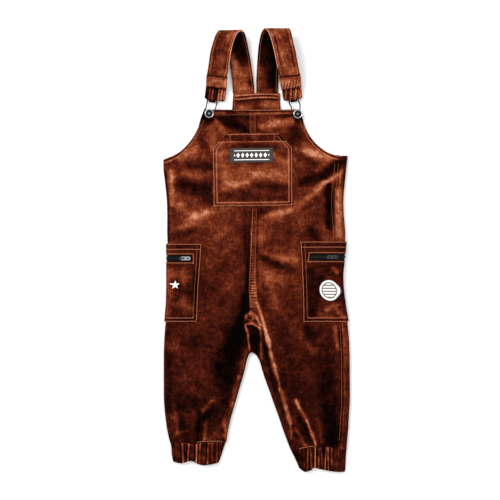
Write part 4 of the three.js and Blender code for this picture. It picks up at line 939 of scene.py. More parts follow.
def lying(x, y):
    """Places on the top of the body and legs, in mm."""
    x, y = np.broadcast_arrays(np.asarray(x, float), np.asarray(y, float))
    out = np.zeros(x.shape + (3,))
    for side, here in ((LEFT, x < centre_seam(y)), (RIGHT, x >= centre_seam(y))):
        p, _ = skin(side, y, ring_of(np.abs(x - outer[side](y))))
        out[here] = p[here]
    return out


def pocket_place(along, height):
    """Places in plan of a spot on the bib pocket, along and up from the middle of its lower edge."""
    c, s = math.cos(POCKET["turn"]), math.sin(POCKET["turn"])
    return POCKET["x"] + along * c - height * s, POCKET["y"] + along * s + height * c


def bib_pocket():
    width, height, (corner_x, corner_y) = POCKET["width"], POCKET["height"], POCKET["corner"]
    rows = levels([height, height - corner_y, 0], 1.5)[:, None]
    share = np.linspace(-0.5, 0.5, 84)
    cut = np.clip(rows - (height - corner_y), 0, None) / corner_y
    along = share * (width - 2 * corner_x * cut)
    x, y = pocket_place(along, rows)
    points = lying(x, y)
    side_edge = np.minimum(along + width / 2 - corner_x * cut, width / 2 - corner_x * cut - along)
    edge = np.minimum(np.minimum(side_edge, rows), height - rows)
    below = np.minimum(side_edge, rows)
    rise = 2.4 - 0.9 * bell(edge, 1.1) + 0.3 * bell(below - 2.4, 1.6)
    rise += 0.25 * ripple(x, y, 11, 26) + 0.8 * step(edge, 6, 40) * step(rows, 20, 90)
    top = height - rows
    rise += 0.35 * step(13.5 - top, 0, 1.5)
    # Painted highlights along the pocket's raised edges and its hem, with painted shade just inside them
    nap_and_shading = 0.15 + 0.9 * bell(below, 1.0) - 0.45 * bell(below - 2.6, 1.1)
    nap_and_shading += 0.75 * bell(below - 5.2, 1.0) * (top > 12) + 0.5 * bell(top, 1.1)
    nap_and_shading += 0.5 * bell(top - 13, 1.0) - 0.45 * step(13 - top, 0, 2) * step(top, 0.5, 3)
    for x0, y0, x1, y1, width, strength in (
        (-50, 128, -40, 100, 8, 0.45),
        (-34, 122, 30, 122, 6, 0.25),
        (0, 118, 42, 114, 8, 0.75),
        (-40, 100, -14, 104, 6, 0.7),
        (-4, 100, 46, 96, 6, -0.7),
        (-48, 84, 40, 82, 9, -0.55),
        (-50, 112, -52, 92, 6, 0.4),
        (22, 150, 44, 134, 5, 0.7),
        (-56, 146, -40, 160, 5, 0.35),
        (-44, 160, 30, 161, 5, -0.5),
    ):
        off, _ = off_segment(x, y, x0, y0, x1, y1)
        nap_and_shading = nap_and_shading + strength * bell(off, width)
    points = offset_out(points, rise)
    wales = np.stack([x, y], -1)
    obj = piece("cloth_bib_pocket", points, grid_faces(*y.shape), corduroy, nap_and_shading=nap_and_shading, wales=wales)
    wall(obj, 1.6)
    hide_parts("bib_pocket")


bib_pocket()

# The label's ground and figure are woven in one, so both are relief and colour of one material
LABEL = {"along": -1.3, "height": 67.5, "wide": 66.5, "high": 22.5}
LABEL_GREY = (0.058, 0.052, 0.048, 1)
LABEL_EDGE = (0.028, 0.025, 0.023, 1)
LABEL_PALE = (0.78, 0.77, 0.75, 1)


def woven_label_cloth():
    n = Nodes("woven_label")
    uv = n.add("ShaderNodeUVMap", {"uv_map": "wales"}).outputs["UV"]
    place = n.add("ShaderNodeSeparateXYZ", Vector=uv)
    u, v = place.outputs["X"], place.outputs["Y"]
    # A row of lozenges between two lines
    pitch = 7.0
    along = n.math("PINGPONG", n.math("ADD", u, pitch * 50), pitch / 2)
    size = n.math("ADD", n.math("MULTIPLY", along, 1.5), n.math("ABSOLUTE", v))
    lozenge = n.math("LESS_THAN", size, 3.9)
    inside = n.math("LESS_THAN", n.math("ABSOLUTE", u), 27.0)
    line = n.math("LESS_THAN", n.math("ABSOLUTE", n.math("SUBTRACT", n.math("ABSOLUTE", v), 7.0)), 0.55)
    figure = n.math("MULTIPLY", n.math("MAXIMUM", lozenge, line), inside)
    weave = n.math("MULTIPLY", n.wave(u, 0.5), n.wave(v, 0.7))
    ground = n.mix(n.math("ADD", n.math("MULTIPLY", weave, 0.25), 0.5), LABEL_EDGE, LABEL_GREY)
    height = n.math("ADD", n.math("MULTIPLY", weave, 0.3), n.math("MULTIPLY", figure, 0.8))
    return n.finish(
        Base_Color=n.mix(figure, ground, LABEL_PALE),
        Normal=n.relief(height, 0.5, 0.0002),
        Roughness=0.7,
        Specular_IOR_Level=0.05,
    )


def bib_label():
    rows = np.linspace(LABEL["high"] / 2, -LABEL["high"] / 2, 20)[:, None]
    columns = np.linspace(-LABEL["wide"] / 2, LABEL["wide"] / 2, 56)
    x, y = pocket_place(LABEL["along"] + columns + 0 * rows, LABEL["height"] + LABEL["high"] / 2 + rows)
    edge = np.minimum(LABEL["wide"] / 2 - np.abs(columns), LABEL["high"] / 2 - np.abs(rows))
    rise = 4.4 + 0.15 * ripple(x, y, 4, 14) - 0.3 * bell(edge, 0.8)
    points = offset_out(lying(x, y), rise)
    uv = np.stack([columns + 0 * rows, rows + 0 * columns], -1)
    obj = piece("cloth_bib_label", points, grid_faces(*x.shape), woven_label_cloth(), wales=uv)
    wall(obj, 0.8)
    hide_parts("bib_label")


bib_label()


# Cargo pockets.
# Large patch pockets of the same cloth, centred on the side seams, so that they fold round the sides
# with them. Each is hemmed and stitched twice, and has a slot near its top for a zip.
SLOT_INSET = 12.5
SLOT_HEIGHT = 9.6
BESIDE_SLOT = 14.0  # from the slot's inner end to the pocket's edge, before it follows the edge
SLOT_MIDDLE = {LEFT: -13.0, RIGHT: -11.0}
SLOT_END = {LEFT: 38.2, RIGHT: 52.5}  # ring coordinate of the slot's inner end
POCKET_EDGE = {
    LEFT: smooth([(12, -84.8), (-35, -87.8), (-70, -90.2), (-112, -91.6)]),
    RIGHT: smooth([(12, 67.8), (-35, 70.4), (-70, 71.6), (-112, 72.4)]),
}
STEP_OFF = 0.05  # between the places that a normal is worked out from


def on_skin(side, y, ring, rise=0.0):
    """Places a distance out from the skin, in mm, and the normals there."""
    y, ring = np.broadcast_arrays(np.asarray(y, float), np.asarray(ring, float))
    at, _ = skin(side, y, ring)
    across = skin(side, y, ring + STEP_OFF)[0] - skin(side, y, ring - STEP_OFF)[0]
    below = np.where(y >= CROTCH[1], np.maximum(y - STEP_OFF, CROTCH[1]), y - STEP_OFF)
    up = skin(side, y + STEP_OFF, ring)[0] - skin(side, below, ring)[0]
    normal = unit(np.cross(across, up) * INWARD[side])
    return at + normal * np.broadcast_to(rise, y.shape)[..., None], normal


def on_top(x, y, rise=0.0):
    """Places a distance out from the top of the garment, in mm, and the normals there."""
    x, y = np.broadcast_arrays(np.asarray(x, float), np.asarray(y, float))
    rise = np.broadcast_to(rise, x.shape)
    at, normal = np.zeros(x.shape + (3,)), np.zeros(x.shape + (3,))
    for side, here in ((LEFT, x < centre_seam(y)), (RIGHT, x >= centre_seam(y))):
        p, n = on_skin(side, y, ring_of(np.abs(x - outer[side](y))), rise)
        at[here], normal[here] = p[here], n[here]
    return at, normal


def pocket_over(side, y):
    """Ring coordinate of a cargo pocket's inner edge on the front."""
    return np.abs(POCKET_EDGE[side](y) - outer[side](y))


def pocket_under(side):
    """Ring coordinate of a cargo pocket's edge underneath."""
    return SEAM_RING[side] - POCKET_HALF


def slot_rings(side):
    """Ring coordinates of the two ends of the zip's slot."""
    return pocket_under(side) + SLOT_INSET, SLOT_END[side]


POCKET_CREASES = {
    LEFT: [
        # x, y along the pocket as it lies, width, height, painted light and shade
        (-132, -36, -100, -44, 7, 0.5, 0.45),
        (-130, -52, -104, -70, 6, -0.5, -0.35),
        (-112, -30, -112, -96, 5, 0.3, 0.3),
        (-134, -30, -136, -100, 4, 0.3, 0.5),
        (-96, -34, -94, -96, 3.5, -0.4, -0.6),
        (-126, -84, -98, -90, 6, 0.3, 0.35),
    ],
    RIGHT: [
        (84, -34, 86, -92, 11, -0.9, -1.0),
        (98, -46, 102, -66, 8, -0.7, -1.1),
        (118, -26, 124, -34, 4, 0.7, 0.8),
        (108, -92, 128, -84, 4, 0.8, 0.9),
        (124, -92, 134, -104, 4, 0.7, 0.7),
        (88, -96, 116, -104, 5, 0.3, 0.5),
        (78, -26, 78, -100, 3, 0.4, 0.45),
        (96, -26, 132, -24, 3, -0.3, -0.5),
    ],
}


def cargo_pocket(side):
    under = pocket_under(side)
    slot_under, slot_over = slot_rings(side)
    top, foot = SLOT_MIDDLE[side] + SLOT_HEIGHT / 2, SLOT_MIDDLE[side] - SLOT_HEIGHT / 2
    rows = levels([POCKET_TOP[side], top, foot, POCKET_FOOT], 1.7)
    rings = levels([under, slot_under, -ROLL, 0, ROLL, slot_over, slot_over + BESIDE_SLOT], 1.6)
    y, ring = np.meshgrid(rows, rings, indexing="ij")
    over = pocket_over(side, y)
    beyond = np.clip((ring - slot_over) / BESIDE_SLOT, 0, 1)
    ring = np.where(ring > slot_over, slot_over + (over - slot_over) * beyond, ring)
    edge = np.minimum.reduce([ring - under, over - ring, POCKET_TOP[side] - y, y - POCKET_FOOT])
    at, _ = skin(side, y, ring)
    above = ring > 0
    fold, crease_shading = creased(at[..., 0], at[..., 1], POCKET_CREASES[side])
    rise = 2.3 - 0.8 * bell(edge, 1.1) + 0.22 * bell(edge - 2.8, 1.4)
    rise += (np.where(above, fold, 0) + 0.25 * ripple(at[..., 0], y, 21, 24)) * step(edge, 1, 8)
    in_slot = np.maximum.reduce([slot_under - ring, ring - slot_over, y - top, foot - y])
    rise -= 0.5 * bell(np.maximum(in_slot, 0), 1.0)
    rise = np.where(ring < 0, np.minimum(rise, 2.25), rise)
    # Painted light and shade of its folds, painted highlights along its raised edges, rows of stitches and
    # the slot's rim, and painted shade going into the slot; both pockets darker as a whole, the right one
    # more
    nap_and_shading = np.where(above, crease_shading, 0.2) - (0.3 if side == LEFT else 0.45)
    nap_and_shading += 0.95 * bell(edge, 1.0) - 0.35 * bell(edge - 2.4, 1.1)
    inner = np.minimum(over - ring, y - POCKET_FOOT)
    nap_and_shading += 0.5 * bell(inner - 6.5, 0.9) - 0.3 * bell(inner - 4.4, 1.0)
    below = POCKET_TOP[side] - y
    nap_and_shading += 0.4 * bell(below - 9.2, 1.0) - 0.3 * bell(below - 6.6, 1.2)
    nap_and_shading += 0.5 * bell(in_slot - 2.2, 0.9) - 0.6 * bell(np.maximum(in_slot, 0), 0.8)
    at, _ = on_skin(side, y, ring, rise)

    def keep(j, i):
        y, ring = (rows[j] + rows[j + 1]) / 2, (rings[i] + rings[i + 1]) / 2
        return ~((y < top) & (y > foot) & (ring > slot_under) & (ring < slot_over))

    faces = grid_faces(*y.shape, flip=side == RIGHT, keep=keep)
    wales = np.stack([INWARD[side] * ring, y], -1)
    obj = piece(f"cloth_cargo_pocket_{side}", at, faces, corduroy, nap_and_shading=nap_and_shading, wales=wales)
    wall(obj, 1.6)
    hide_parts(f"cargo_pocket_{side}")


for side in (LEFT, RIGHT):
    cargo_pocket(side)

# Zips.
# Black woven tape in each pocket's slot, with a closed plastic coil down its middle. The metal slider
# and its pull tab are the CAD's own and only get their finish here.
ZIP_BLACK = (0.0025, 0.0030, 0.0030, 1)
ZIP_GREY = (0.0055, 0.0070, 0.0065, 1)
COIL_GREY = (0.008, 0.010, 0.009, 1)


def tape_cloth():
    n = Nodes("zip_tape")
    uv = n.add("ShaderNodeUVMap", {"uv_map": "wales"}).outputs["UV"]
    place = n.add("ShaderNodeSeparateXYZ", Vector=uv)
    ribs, picks = n.wave(place.outputs["Y"], 0.75), n.wave(place.outputs["X"], 0.6)
    weave = n.math("ADD", n.math("MULTIPLY", ribs, 0.6), n.math("MULTIPLY", picks, 0.4))
    return n.finish(
        Base_Color=n.mix(n.math("ADD", n.math("MULTIPLY", weave, 0.5), 0.5), ZIP_BLACK, ZIP_GREY),
        Normal=n.relief(weave, 0.6, 0.0002),
        Roughness=0.8,
        Specular_IOR_Level=0.05,
    )


def plain(name, color, roughness, specular=0.5):
    return Nodes(name).finish(Base_Color=color, Roughness=roughness, Specular_IOR_Level=specular)


zip_cloth = tape_cloth()
coil_plastic = plain("zip_coil", COIL_GREY, 0.45, specular=0.15)


def zip_band(side):
    slot_under, slot_over = slot_rings(side)
    middle = SLOT_MIDDLE[side]
    rows = levels([middle + 4.5, middle - 4.5], 0.9)
    rings = levels([slot_under + 2 * HALF_GAP, -ROLL, 0, ROLL, slot_over - 2 * HALF_GAP], 1.5)
    y, ring = np.meshgrid(rows, rings, indexing="ij")
    off = np.abs(y - middle)
    rise = 1.35 + 0.35 * bell(off, 1.4) - 0.3 * bell(off - 2.0, 0.5)
    at, _ = on_skin(side, y, ring, rise)
    wales = np.stack([ring, y], -1)
    obj = piece(f"zip_band_{side}", at, grid_faces(*y.shape, flip=side == RIGHT), zip_cloth, wales=wales)
    wall(obj, 0.9)
    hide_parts(f"zip_tape_{side}")


def rounded_bar(at, along, across, out, size):
    """Points of a small bar with rounded ends: its middle, three directions and its size."""
    points = []
    for share, waist in ((-1.0, 0.35), (-0.7, 0.85), (0.0, 1.0), (0.7, 0.85), (1.0, 0.35)):
        for k in range(6):
            angle = k * math.pi / 3
            side = across * math.cos(angle) * size[1] + out * math.sin(angle) * size[2]
            points.append(at + along * share * size[0] + side * waist)
    return points


def ring_faces(rings, around):
    """Faces between rings of points one after another, each closed and of the same count."""
    faces = []
    for j in range(rings - 1):
        for k in range(around):
            a, b, right = j * around, (j + 1) * around, (k + 1) % around
            faces.append([a + k, a + right, b + right, b + k])
    return faces


BAR_FACES = ring_faces(5, 6) + [[5, 4, 3, 2, 1, 0], [24, 25, 26, 27, 28, 29]]


def bars(name, places, size, material):
    """Many small bars in one piece. places is a list of middle, along, across and out."""
    points, faces = [], []
    for at, along, across, out in places:
        start = len(points)
        points += rounded_bar(at, along, across, out, size)
        faces += [[start + i for i in face] for face in BAR_FACES]
    obj = piece(name, points, faces, material)


COIL_PITCH = 1.15
COIL_LEAN = 0.22
COIL_OFF = 0.35


def zip_coil(side):
    slot_under, slot_over = slot_rings(side)
    rings = np.arange(slot_under + 1, slot_over - 0.6, COIL_PITCH)
    middle = SLOT_MIDDLE[side]
    at, out = on_skin(side, np.full(rings.shape, middle), rings, 1.9)
    ahead, _ = on_skin(side, np.full(rings.shape, middle), rings + 0.5, 1.9)
    places = []
    for k in range(len(rings)):
        turn = 1 if k % 2 else -1
        along = unit(ahead[k] - at[k])
        across = np.cross(out[k], along)
        lean = unit(across + along * COIL_LEAN * turn)
        places.append((at[k] + across * COIL_OFF * turn, lean, np.cross(out[k], lean), out[k]))
    bars(f"zip_coil_{side}", places, (1.5, 0.42, 0.5), coil_plastic)


for side in (LEFT, RIGHT):
    zip_band(side)
    zip_coil(side)


def worn_metal(name, color, dark, roughness):
    n = Nodes(name)
    place = n.add("ShaderNodeTexCoord").outputs["Object"]
    wear = n.noise(place, 900.0, 3.0, 0.6)
    share = n.math("MULTIPLY", wear, 0.7)
    return n.finish(Base_Color=n.mix(share, color, dark), Metallic=1.0, Roughness=roughness)


gunmetal = worn_metal("gunmetal", (0.045, 0.045, 0.05, 1), (0.02, 0.02, 0.022, 1), 0.38)
smoked_steel = worn_metal("smoked_steel", (0.075, 0.075, 0.078, 1), (0.02, 0.02, 0.02, 1), 0.3)
worn_nickel = worn_metal("worn_nickel", (0.42, 0.42, 0.41, 1), (0.14, 0.14, 0.14, 1), 0.3)
ZIP_METAL = {
    "zip_slider_left": smoked_steel,
    "zip_pull_left": worn_nickel,
    "zip_slider_right": gunmetal,
    "zip_pull_right": gunmetal,
}
for node, metal in ZIP_METAL.items():
    for place in bpy.data.objects[node].material_slots:
        place.material = metal

# Straps.
# Each is a band of the same cloth, folded double and stitched along both edges. It is sewn to the top
# of the back, loops over and comes down in front of it to its gathered end.
STRAP_CLOTH = 2.4
STRAP_LENGTH = 210.0  # about, for the pattern of the cloth
STRAP_HALF = 15.8
STRAPS = {
    # x, y and z of its middle, half of its width, and how far its right edge lies higher
    LEFT: [
        (-20.0, 243.55, 1.5, 16.8, 0.0),
        (-20.4, 252.0, 1.8, 16.8, 0.01),
        (-21.4, 264.0, 2.4, 16.7, 0.02),
        (-24.2, 286.0, 4.2, 16.5, 0.03),
        (-28.0, 307.0, 7.0, 16.5, 0.05),
        (-31.6, 323.0, 10.0, 16.7, 0.09),
        (-35.4, 334.6, 14.0, 17.0, 0.13),
        (-40.2, 338.2, 19.0, 16.7, 0.15),
        (-45.0, 334.0, 23.0, 16.2, 0.1),
        (-50.8, 321.0, 25.0, 15.6, -0.02),
        (-55.2, 304.0, 24.2, 15.8, -0.12),
        (-58.2, 284.0, 20.5, 15.8, -0.15),
        (-61.2, 268.0, 14.4, 15.4, -0.12),
        (-61.9, 254.4, 8.6, 15.4, -0.02),
    ],
    RIGHT: [
        (16.4, 243.55, 1.5, 16.9, 0.0),
        (16.4, 252.0, 1.8, 16.9, 0.0),
        (16.6, 264.0, 2.6, 17.0, -0.01),
        (17.9, 286.0, 4.6, 17.0, -0.02),
        (19.6, 307.0, 7.4, 17.2, -0.02),
        (22.0, 323.0, 11.0, 17.6, -0.02),
        (26.0, 335.8, 15.5, 18.2, 0.01),
        (30.6, 340.6, 20.5, 18.8, 0.03),
        (34.6, 337.0, 25.0, 18.0, 0.04),
        (38.6, 325.0, 27.0, 16.6, 0.08),
        (43.4, 306.0, 26.0, 16.3, 0.16),
        (47.6, 286.0, 21.5, 16.0, 0.18),
        (51.6, 268.0, 14.8, 15.8, 0.13),
        (53.6, 253.2, 8.6, 15.2, 0.02),
    ],
}
STRAP_TURN = {LEFT: -0.13, RIGHT: 0.15}


def spline(points, shares, closed=False):
    """Places on a smooth curve through points spaced by the root of their distances."""
    points = np.asarray(points, float)
    count = len(points)
    if closed:
        ring = np.concatenate([points[-1:], points, points[:2]])
    else:
        ring = np.concatenate([[2 * points[0] - points[1]], points, [2 * points[-1] - points[-2]]])
    spans = count if closed else count - 1
    k = np.clip(np.asarray(shares, float) * spans, 0, spans - 1e-9)
    i = np.floor(k).astype(int)
    w = (k - i)[..., None]
    near = [ring[i + n] for n in range(4)]
    d0, d1, d2 = (np.sqrt(np.linalg.norm(b - a, axis=-1, keepdims=True)) for a, b in zip(near, near[1:]))
    p0, p1, p2, p3 = near
    m1 = ((p1 - p0) / d0 - (p2 - p0) / (d0 + d1) + (p2 - p1) / d1) * d1
    m2 = ((p2 - p1) / d1 - (p3 - p1) / (d1 + d2) + (p3 - p2) / d2) * d1
    return p1 + m1 * w + (3 * (p2 - p1) - 2 * m1 - m2) * w**2 + (2 * (p1 - p2) + m1 + m2) * w**3


def strap_place(side, t, u, rise=0.0):
    """Places on a strap: t runs from the back to the gathered end, u across from left to right."""
    t, u = np.broadcast_arrays(np.asarray(t, float), np.asarray(u, float))
    table = np.array(STRAPS[side])
    at = spline(table[:, :3], t)
    k = t * (len(table) - 1)
    half = np.interp(k, np.arange(len(table)), table[:, 3])
    lean = np.interp(k, np.arange(len(table)), table[:, 4])
    turn = STRAP_TURN[side] * step(t, 0.75, 1)
    across = np.stack([np.cos(turn), np.sin(turn), lean], -1)
    ahead = spline(table[:, :3], np.clip(t + 0.01, 0, 1)) - spline(table[:, :3], np.clip(t - 0.01, 0, 1))
    normal = unit(np.cross(across, ahead))
    return at + across * (u * half)[..., None] + normal * np.broadcast_to(rise, t.shape)[..., None], normal


STRAP_LIGHT_AND_SHADE = {
    # t, u, spread of t, spread of u, and painted light, painted shade where negative
    LEFT: [
        (0.10, 0.1, 0.05, 0.5, 0.5),
        (0.20, -0.3, 0.07, 0.5, 0.55),
        (0.13, 0.7, 0.05, 0.25, -0.8),
        (0.27, -0.55, 0.05, 0.3, 1.6),
        (0.34, 0.2, 0.09, 0.9, -1.0),
        (0.44, 0.3, 0.05, 0.9, -0.9),
        (0.55, -0.2, 0.05, 0.6, 0.35),
        (0.64, 0.6, 0.08, 0.3, 0.4),
        (0.72, -0.4, 0.07, 0.35, -0.5),
        (0.80, 0.1, 0.04, 0.5, 0.4),
        (0.90, 0.0, 0.03, 0.9, 0.35),
    ],
    RIGHT: [
        (0.07, -0.2, 0.05, 0.6, -0.3),
        (0.15, 0.4, 0.06, 0.5, -1.0),
        (0.09, 0.75, 0.08, 0.25, -1.4),
        (0.20, 0.8, 0.07, 0.5, -1.8),
        (0.29, 0.2, 0.08, 0.9, -1.6),
        (0.40, 0.0, 0.08, 0.9, -1.8),
        (0.50, -0.5, 0.05, 0.4, -0.8),
        (0.56, 0.2, 0.05, 0.6, 0.3),
        (0.63, -0.4, 0.06, 0.35, 0.55),
        (0.70, 0.5, 0.06, 0.35, -0.5),
        (0.78, -0.2, 0.05, 0.5, 0.4),
        (0.88, 0.2, 0.04, 0.9, 0.5),
    ],
}


def strap(side):
    t, u = np.meshgrid(np.linspace(0, 1, 190), np.linspace(-1, 1, 26), indexing="ij")
    along, across = t * STRAP_LENGTH, u * 15.0
    seed = 31 if side == LEFT else 37
    rise = 0.25 * ripple(along, across, seed, 22) * (1 - 0.6 * np.abs(u))
    at, _ = strap_place(side, t, u, rise)
    off = (1 - np.abs(u)) * STRAP_HALF
    # Painted highlights along the stitched edges, with painted shade just inside them
    nap_and_shading = (0.25 if side == LEFT else 0.1) + 0.55 * bell(off, 0.9) - 0.45 * bell(off - 1.8, 0.8)
    front = step(t, 0.46, 0.56) * (1 - step(t, 0.86, 0.92))
    nap_and_shading += 0.35 * bell(off - 3.4, 1.1) * (1 + front) - 0.45 * bell(off - 6.2, 1.3) * front
    nap_and_shading += 0.45 * front * ripple(t * 40, across, seed + 9, 3.4)
    # Painted highlight on the turned edge of the front strand and painted shade inside the loop
    nap_and_shading += 1.7 * bell(1 - INWARD[side] * u, 0.055) * step(t, 0.46, 0.53) * (1 - step(t, 0.78, 0.9))
    loop = step(t, 0.2, 0.3) * (1 - step(t, 0.44, 0.5))
    nap_and_shading -= 1.5 * loop * (0.75 + 0.25 * ripple(along, across, seed + 5, 9))
    for t0, u0, wide_t, wide_u, strength in STRAP_LIGHT_AND_SHADE[side]:
        nap_and_shading += strength * bell(t - t0, wide_t) * bell(u - u0, wide_u)
    nap_and_shading += 0.5 * ripple(along, across, seed + 1, 16)
    wales = np.stack([u * STRAP_HALF, along], -1)
    obj = piece(f"cloth_strap_{side}", at, grid_faces(*t.shape, flip=True), corduroy, nap_and_shading=nap_and_shading, wales=wales)
    wall(obj, STRAP_CLOTH, offset=0.0)
    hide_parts(f"strap_{side}")


# Keepers.
# A plain band of the cloth sewn round each strap above its gathered end, to hold it in.
KEEPER = (0.915, 1.015)  # its upper and lower edge, as shares of the strap
KEEPER_RUN = 150.0  # mm of strap to a whole share, near its lower end


def keeper(side):
    upper, lower = KEEPER
    t, u = np.meshgrid(np.linspace(upper, lower, 18), np.linspace(-1.06, 1.06, 30), indexing="ij")
    edge = np.minimum(t - upper, lower - t) * KEEPER_RUN
    thick = 1.9 - 0.4 * bell(edge, 1.0) + 0.15 * ripple(t * 160, u * 15, 5, 14)
    at, _ = strap_place(side, np.clip(t, 0, 1), u, -(STRAP_CLOTH / 2 + thick))
    beyond = np.clip(t - 1, 0, None)[..., None] * KEEPER_RUN
    at = at + beyond * [math.sin(STRAP_TURN[side]), -math.cos(STRAP_TURN[side]), -0.1]
    nap_and_shading = 0.35 + 0.8 * ripple(t * KEEPER_RUN, u * 15, 8, 9)
    # Lighter over its middle, painted shade towards its lower end and along its upper edge where it meets the
    # strap; light and dark diagonal stripes on the right one
    nap_and_shading += 0.5 * step(t, 0.93, 0.955) - 0.8 * step(t, 0.99, 1.015)
    if side == RIGHT:
        nap_and_shading += 0.9 * np.cos((u * 15 + t * 60) * 2 * math.pi / 4.6) * step(t, 0.93, 0.98)
    nap_and_shading -= 1.6 * bell((t - upper) * KEEPER_RUN, 0.8)
    wales = np.stack([t * 160, u * 15], -1)
    obj = piece(f"cloth_keeper_{side}", at, grid_faces(*t.shape), corduroy, nap_and_shading=nap_and_shading, wales=wales)
    wall(obj, 1.4)
    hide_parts(f"keeper_{side}")


# Gathered strap ends.
# Below the keeper each strap is one layer, drawn into deep upright folds, and a tab in its middle
# turns under round the bar of the buckle.
END = {"bend": 2.3, "cloth": 1.8, "middle": 5.9, "gap": 1.2}
END_HALF = {LEFT: 15.6, RIGHT: 14.8}
END_LENGTH = {LEFT: 25.0, RIGHT: 22.8}
END_FOLDS = {
    # place across, height, light
    LEFT: [
        (-14.4, 1.2, 0.2),
        (-8.9, 1.2, 0.8),
        (-4.6, 1.3, 0.9),
        (-0.6, 1.0, 0.1),
        (5.4, 1.4, 1.2),
        (9.4, 1.4, 1.5),
        (13.6, 1.3, 1.3),
    ],
    RIGHT: [
        (-13.2, 1.1, 0.9),
        (-9.6, 1.4, 1.5),
        (-5.8, 1.1, 0.6),
        (-2.0, 1.5, 1.6),
        (2.2, 1.1, 0.9),
        (5.8, 1.5, 1.7),
        (9.8, 1.1, 1.0),
        (13.2, 1.3, 1.4),
    ],
}
END_SLANT = {LEFT: 0.02, RIGHT: 0.22}
END_PARTS = 24
PART_COLUMNS = 4
END_ROWS = 13
TAB_PARTS = 8  # how many of the parts the tab is wide
TAB_COLUMN = {LEFT: -3, RIGHT: 1}  # and how many of them it lies to the right of the middle


def end_place(side, along, out, z):
    """Places on a strap end: along it from left to right, out from the strap's end, and up."""
    turn = STRAP_TURN[side]
    x, y = STRAPS[side][-1][:2]
    out, z = out + 0 * along, z + 0 * along
    px = x + along * math.cos(turn) + out * math.sin(turn)
    return np.stack([px, y + along * math.sin(turn) - out * math.cos(turn), z], -1)


def strap_end(side):
    straight = END_LENGTH[side] - END["bend"]
    along = np.linspace(-END_HALF[side], END_HALF[side], END_PARTS * PART_COLUMNS + 1)
    corner = 2.6 * step(np.abs(along) / END_HALF[side], 0.8, 1.0) ** 2
    last = STRAPS[side][-1][2]
    rows, nap_and_shading = [], []
    for share in np.linspace(0, 1, END_ROWS):
        # Painted shade between the folds and painted highlights on their crests, painted shade where the end
        # comes out under the keeper and towards the bend, and on the turn under the bar
        fold, shade = np.zeros_like(along), -0.9 + np.zeros_like(along)
        for at, high, light in END_FOLDS[side]:
            crest = bell(along - at + END_SLANT[side] * (share - 0.5) * straight, 1.2)
            fold, shade = fold + high * crest, shade + 1.5 * light * crest
        fade = 0.25 + 0.75 * min(share / 0.2, 1) - 0.35 * step(share, 0.7, 1.0)
        z = last + (END["middle"] - last) * share + fade * fold * 0.85
        rows.append(end_place(side, along, END["gap"] + (straight - corner - END["gap"]) * share, z))
        shade_under_keeper = -3.0 * math.exp(-((share / 0.15) ** 2))
        nap_and_shading.append(shade * (0.5 + 0.5 * fade) + shade_under_keeper - 0.7 * step(share, 0.88, 1.0))
    for angle in np.radians(np.linspace(22.5, 180, 8)):
        out = straight - corner + END["bend"] * math.sin(angle)
        z = END["middle"] - END["bend"] * (1 - math.cos(angle))
        rows.append(end_place(side, along, out, z))
        nap_and_shading.append(0 * along - 1.2)
    for back in (3.5, 7.0):
        rows.append(end_place(side, along, straight - back, END["middle"] - 2 * END["bend"]))
        nap_and_shading.append(0 * along)
    points = np.array(rows)
    tab = (END_PARTS // 2 - TAB_PARTS // 2 + TAB_COLUMN[side]) * PART_COLUMNS

    def keep(j, i):
        return (j < END_ROWS - 1) | ((i >= tab) & (i < tab + TAB_PARTS * PART_COLUMNS))

    faces = grid_faces(*points.shape[:2], keep=keep)
    wales = np.stack(np.broadcast_arrays(along, points[..., 1]), -1)
    obj = piece(f"cloth_strap_end_{side}", points, faces, corduroy, nap_and_shading=np.array(nap_and_shading), wales=wales)
    wall(obj, END["cloth"], offset=0.0)
    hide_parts(f"strap_end_{side}")


for side in (LEFT, RIGHT):
    strap(side)
    keeper(side)
    strap_end(side)

# Brace buckles and tack buttons.
# A bent wire loop hangs in each strap's tab and hooks round the button's stem. The button is riveted
# through the bib: a bright ring with a black recess, and a plain steel stud in its middle.
WIRE = 1.0
BAR_HALF = 7.4
BAR_ROUND = 1.2
ARM_OUT, ARM_RISE = 5.4, 1.5
WIRE_BENDS = {
    # from the button's middle, from the arm on the right round under the head to the arm on the left
    LEFT: [
        (10.4, 11.4, -0.5),
        (8.2, 5.4, 0.0),
        (4.6, -1.2, 0.0),
        (0.0, -4.4, 0.0),
        (-4.4, -1.2, 0.0),
        (-7.4, 4.4, 0.0),
        (-5.0, 10.0, -0.3),
    ],
    RIGHT: [
        (3.6, 14.2, -0.6),
        (3.6, 7.6, 0.0),
        (4.4, 0.8, 0.0),
        (0.0, -4.4, 0.0),
        (-4.6, -1.2, 0.0),
        (-9.2, 5.4, 0.0),
        (-10.4, 12.0, -0.6),
    ],
}
BUTTONS = {LEFT: (-73.2, 211.4), RIGHT: (63.9, 210.6)}


def button_base(side):
    """Height on which a button's foot rests."""
    x, y = BUTTONS[side]
    around = [(0, 0), (4.5, 0), (-4.5, 0), (0, 4.5), (0, -4.5)]
    return max(float(lying(x + dx, y + dy)[..., 2]) for dx, dy in around) + 0.3


def wire_loop(points, radius, count, around):
    """Points and faces of a closed round wire through places."""
    shares = np.arange(count) / count
    at = spline(points, shares, True)
    ahead = unit(spline(points, (shares + 0.004) % 1, True) - spline(points, (shares - 0.004) % 1, True))
    sideways = unit(np.cross(ahead, [0, 0, 1.0]))
    above = np.cross(sideways, ahead)
    angle = np.arange(around) * 2 * math.pi / around
    ring = sideways[:, None] * np.cos(angle)[None, :, None] + above[:, None] * np.sin(angle)[None, :, None]
    points = at[:, None] + ring * radius
    i, k = np.meshgrid(np.arange(count), np.arange(around), indexing="ij")
    after, right = (i + 1) % count, (k + 1) % around
    faces = np.stack([i * around + k, after * around + k, after * around + right, i * around + right], -1)
    return points, faces.reshape(-1, 4)


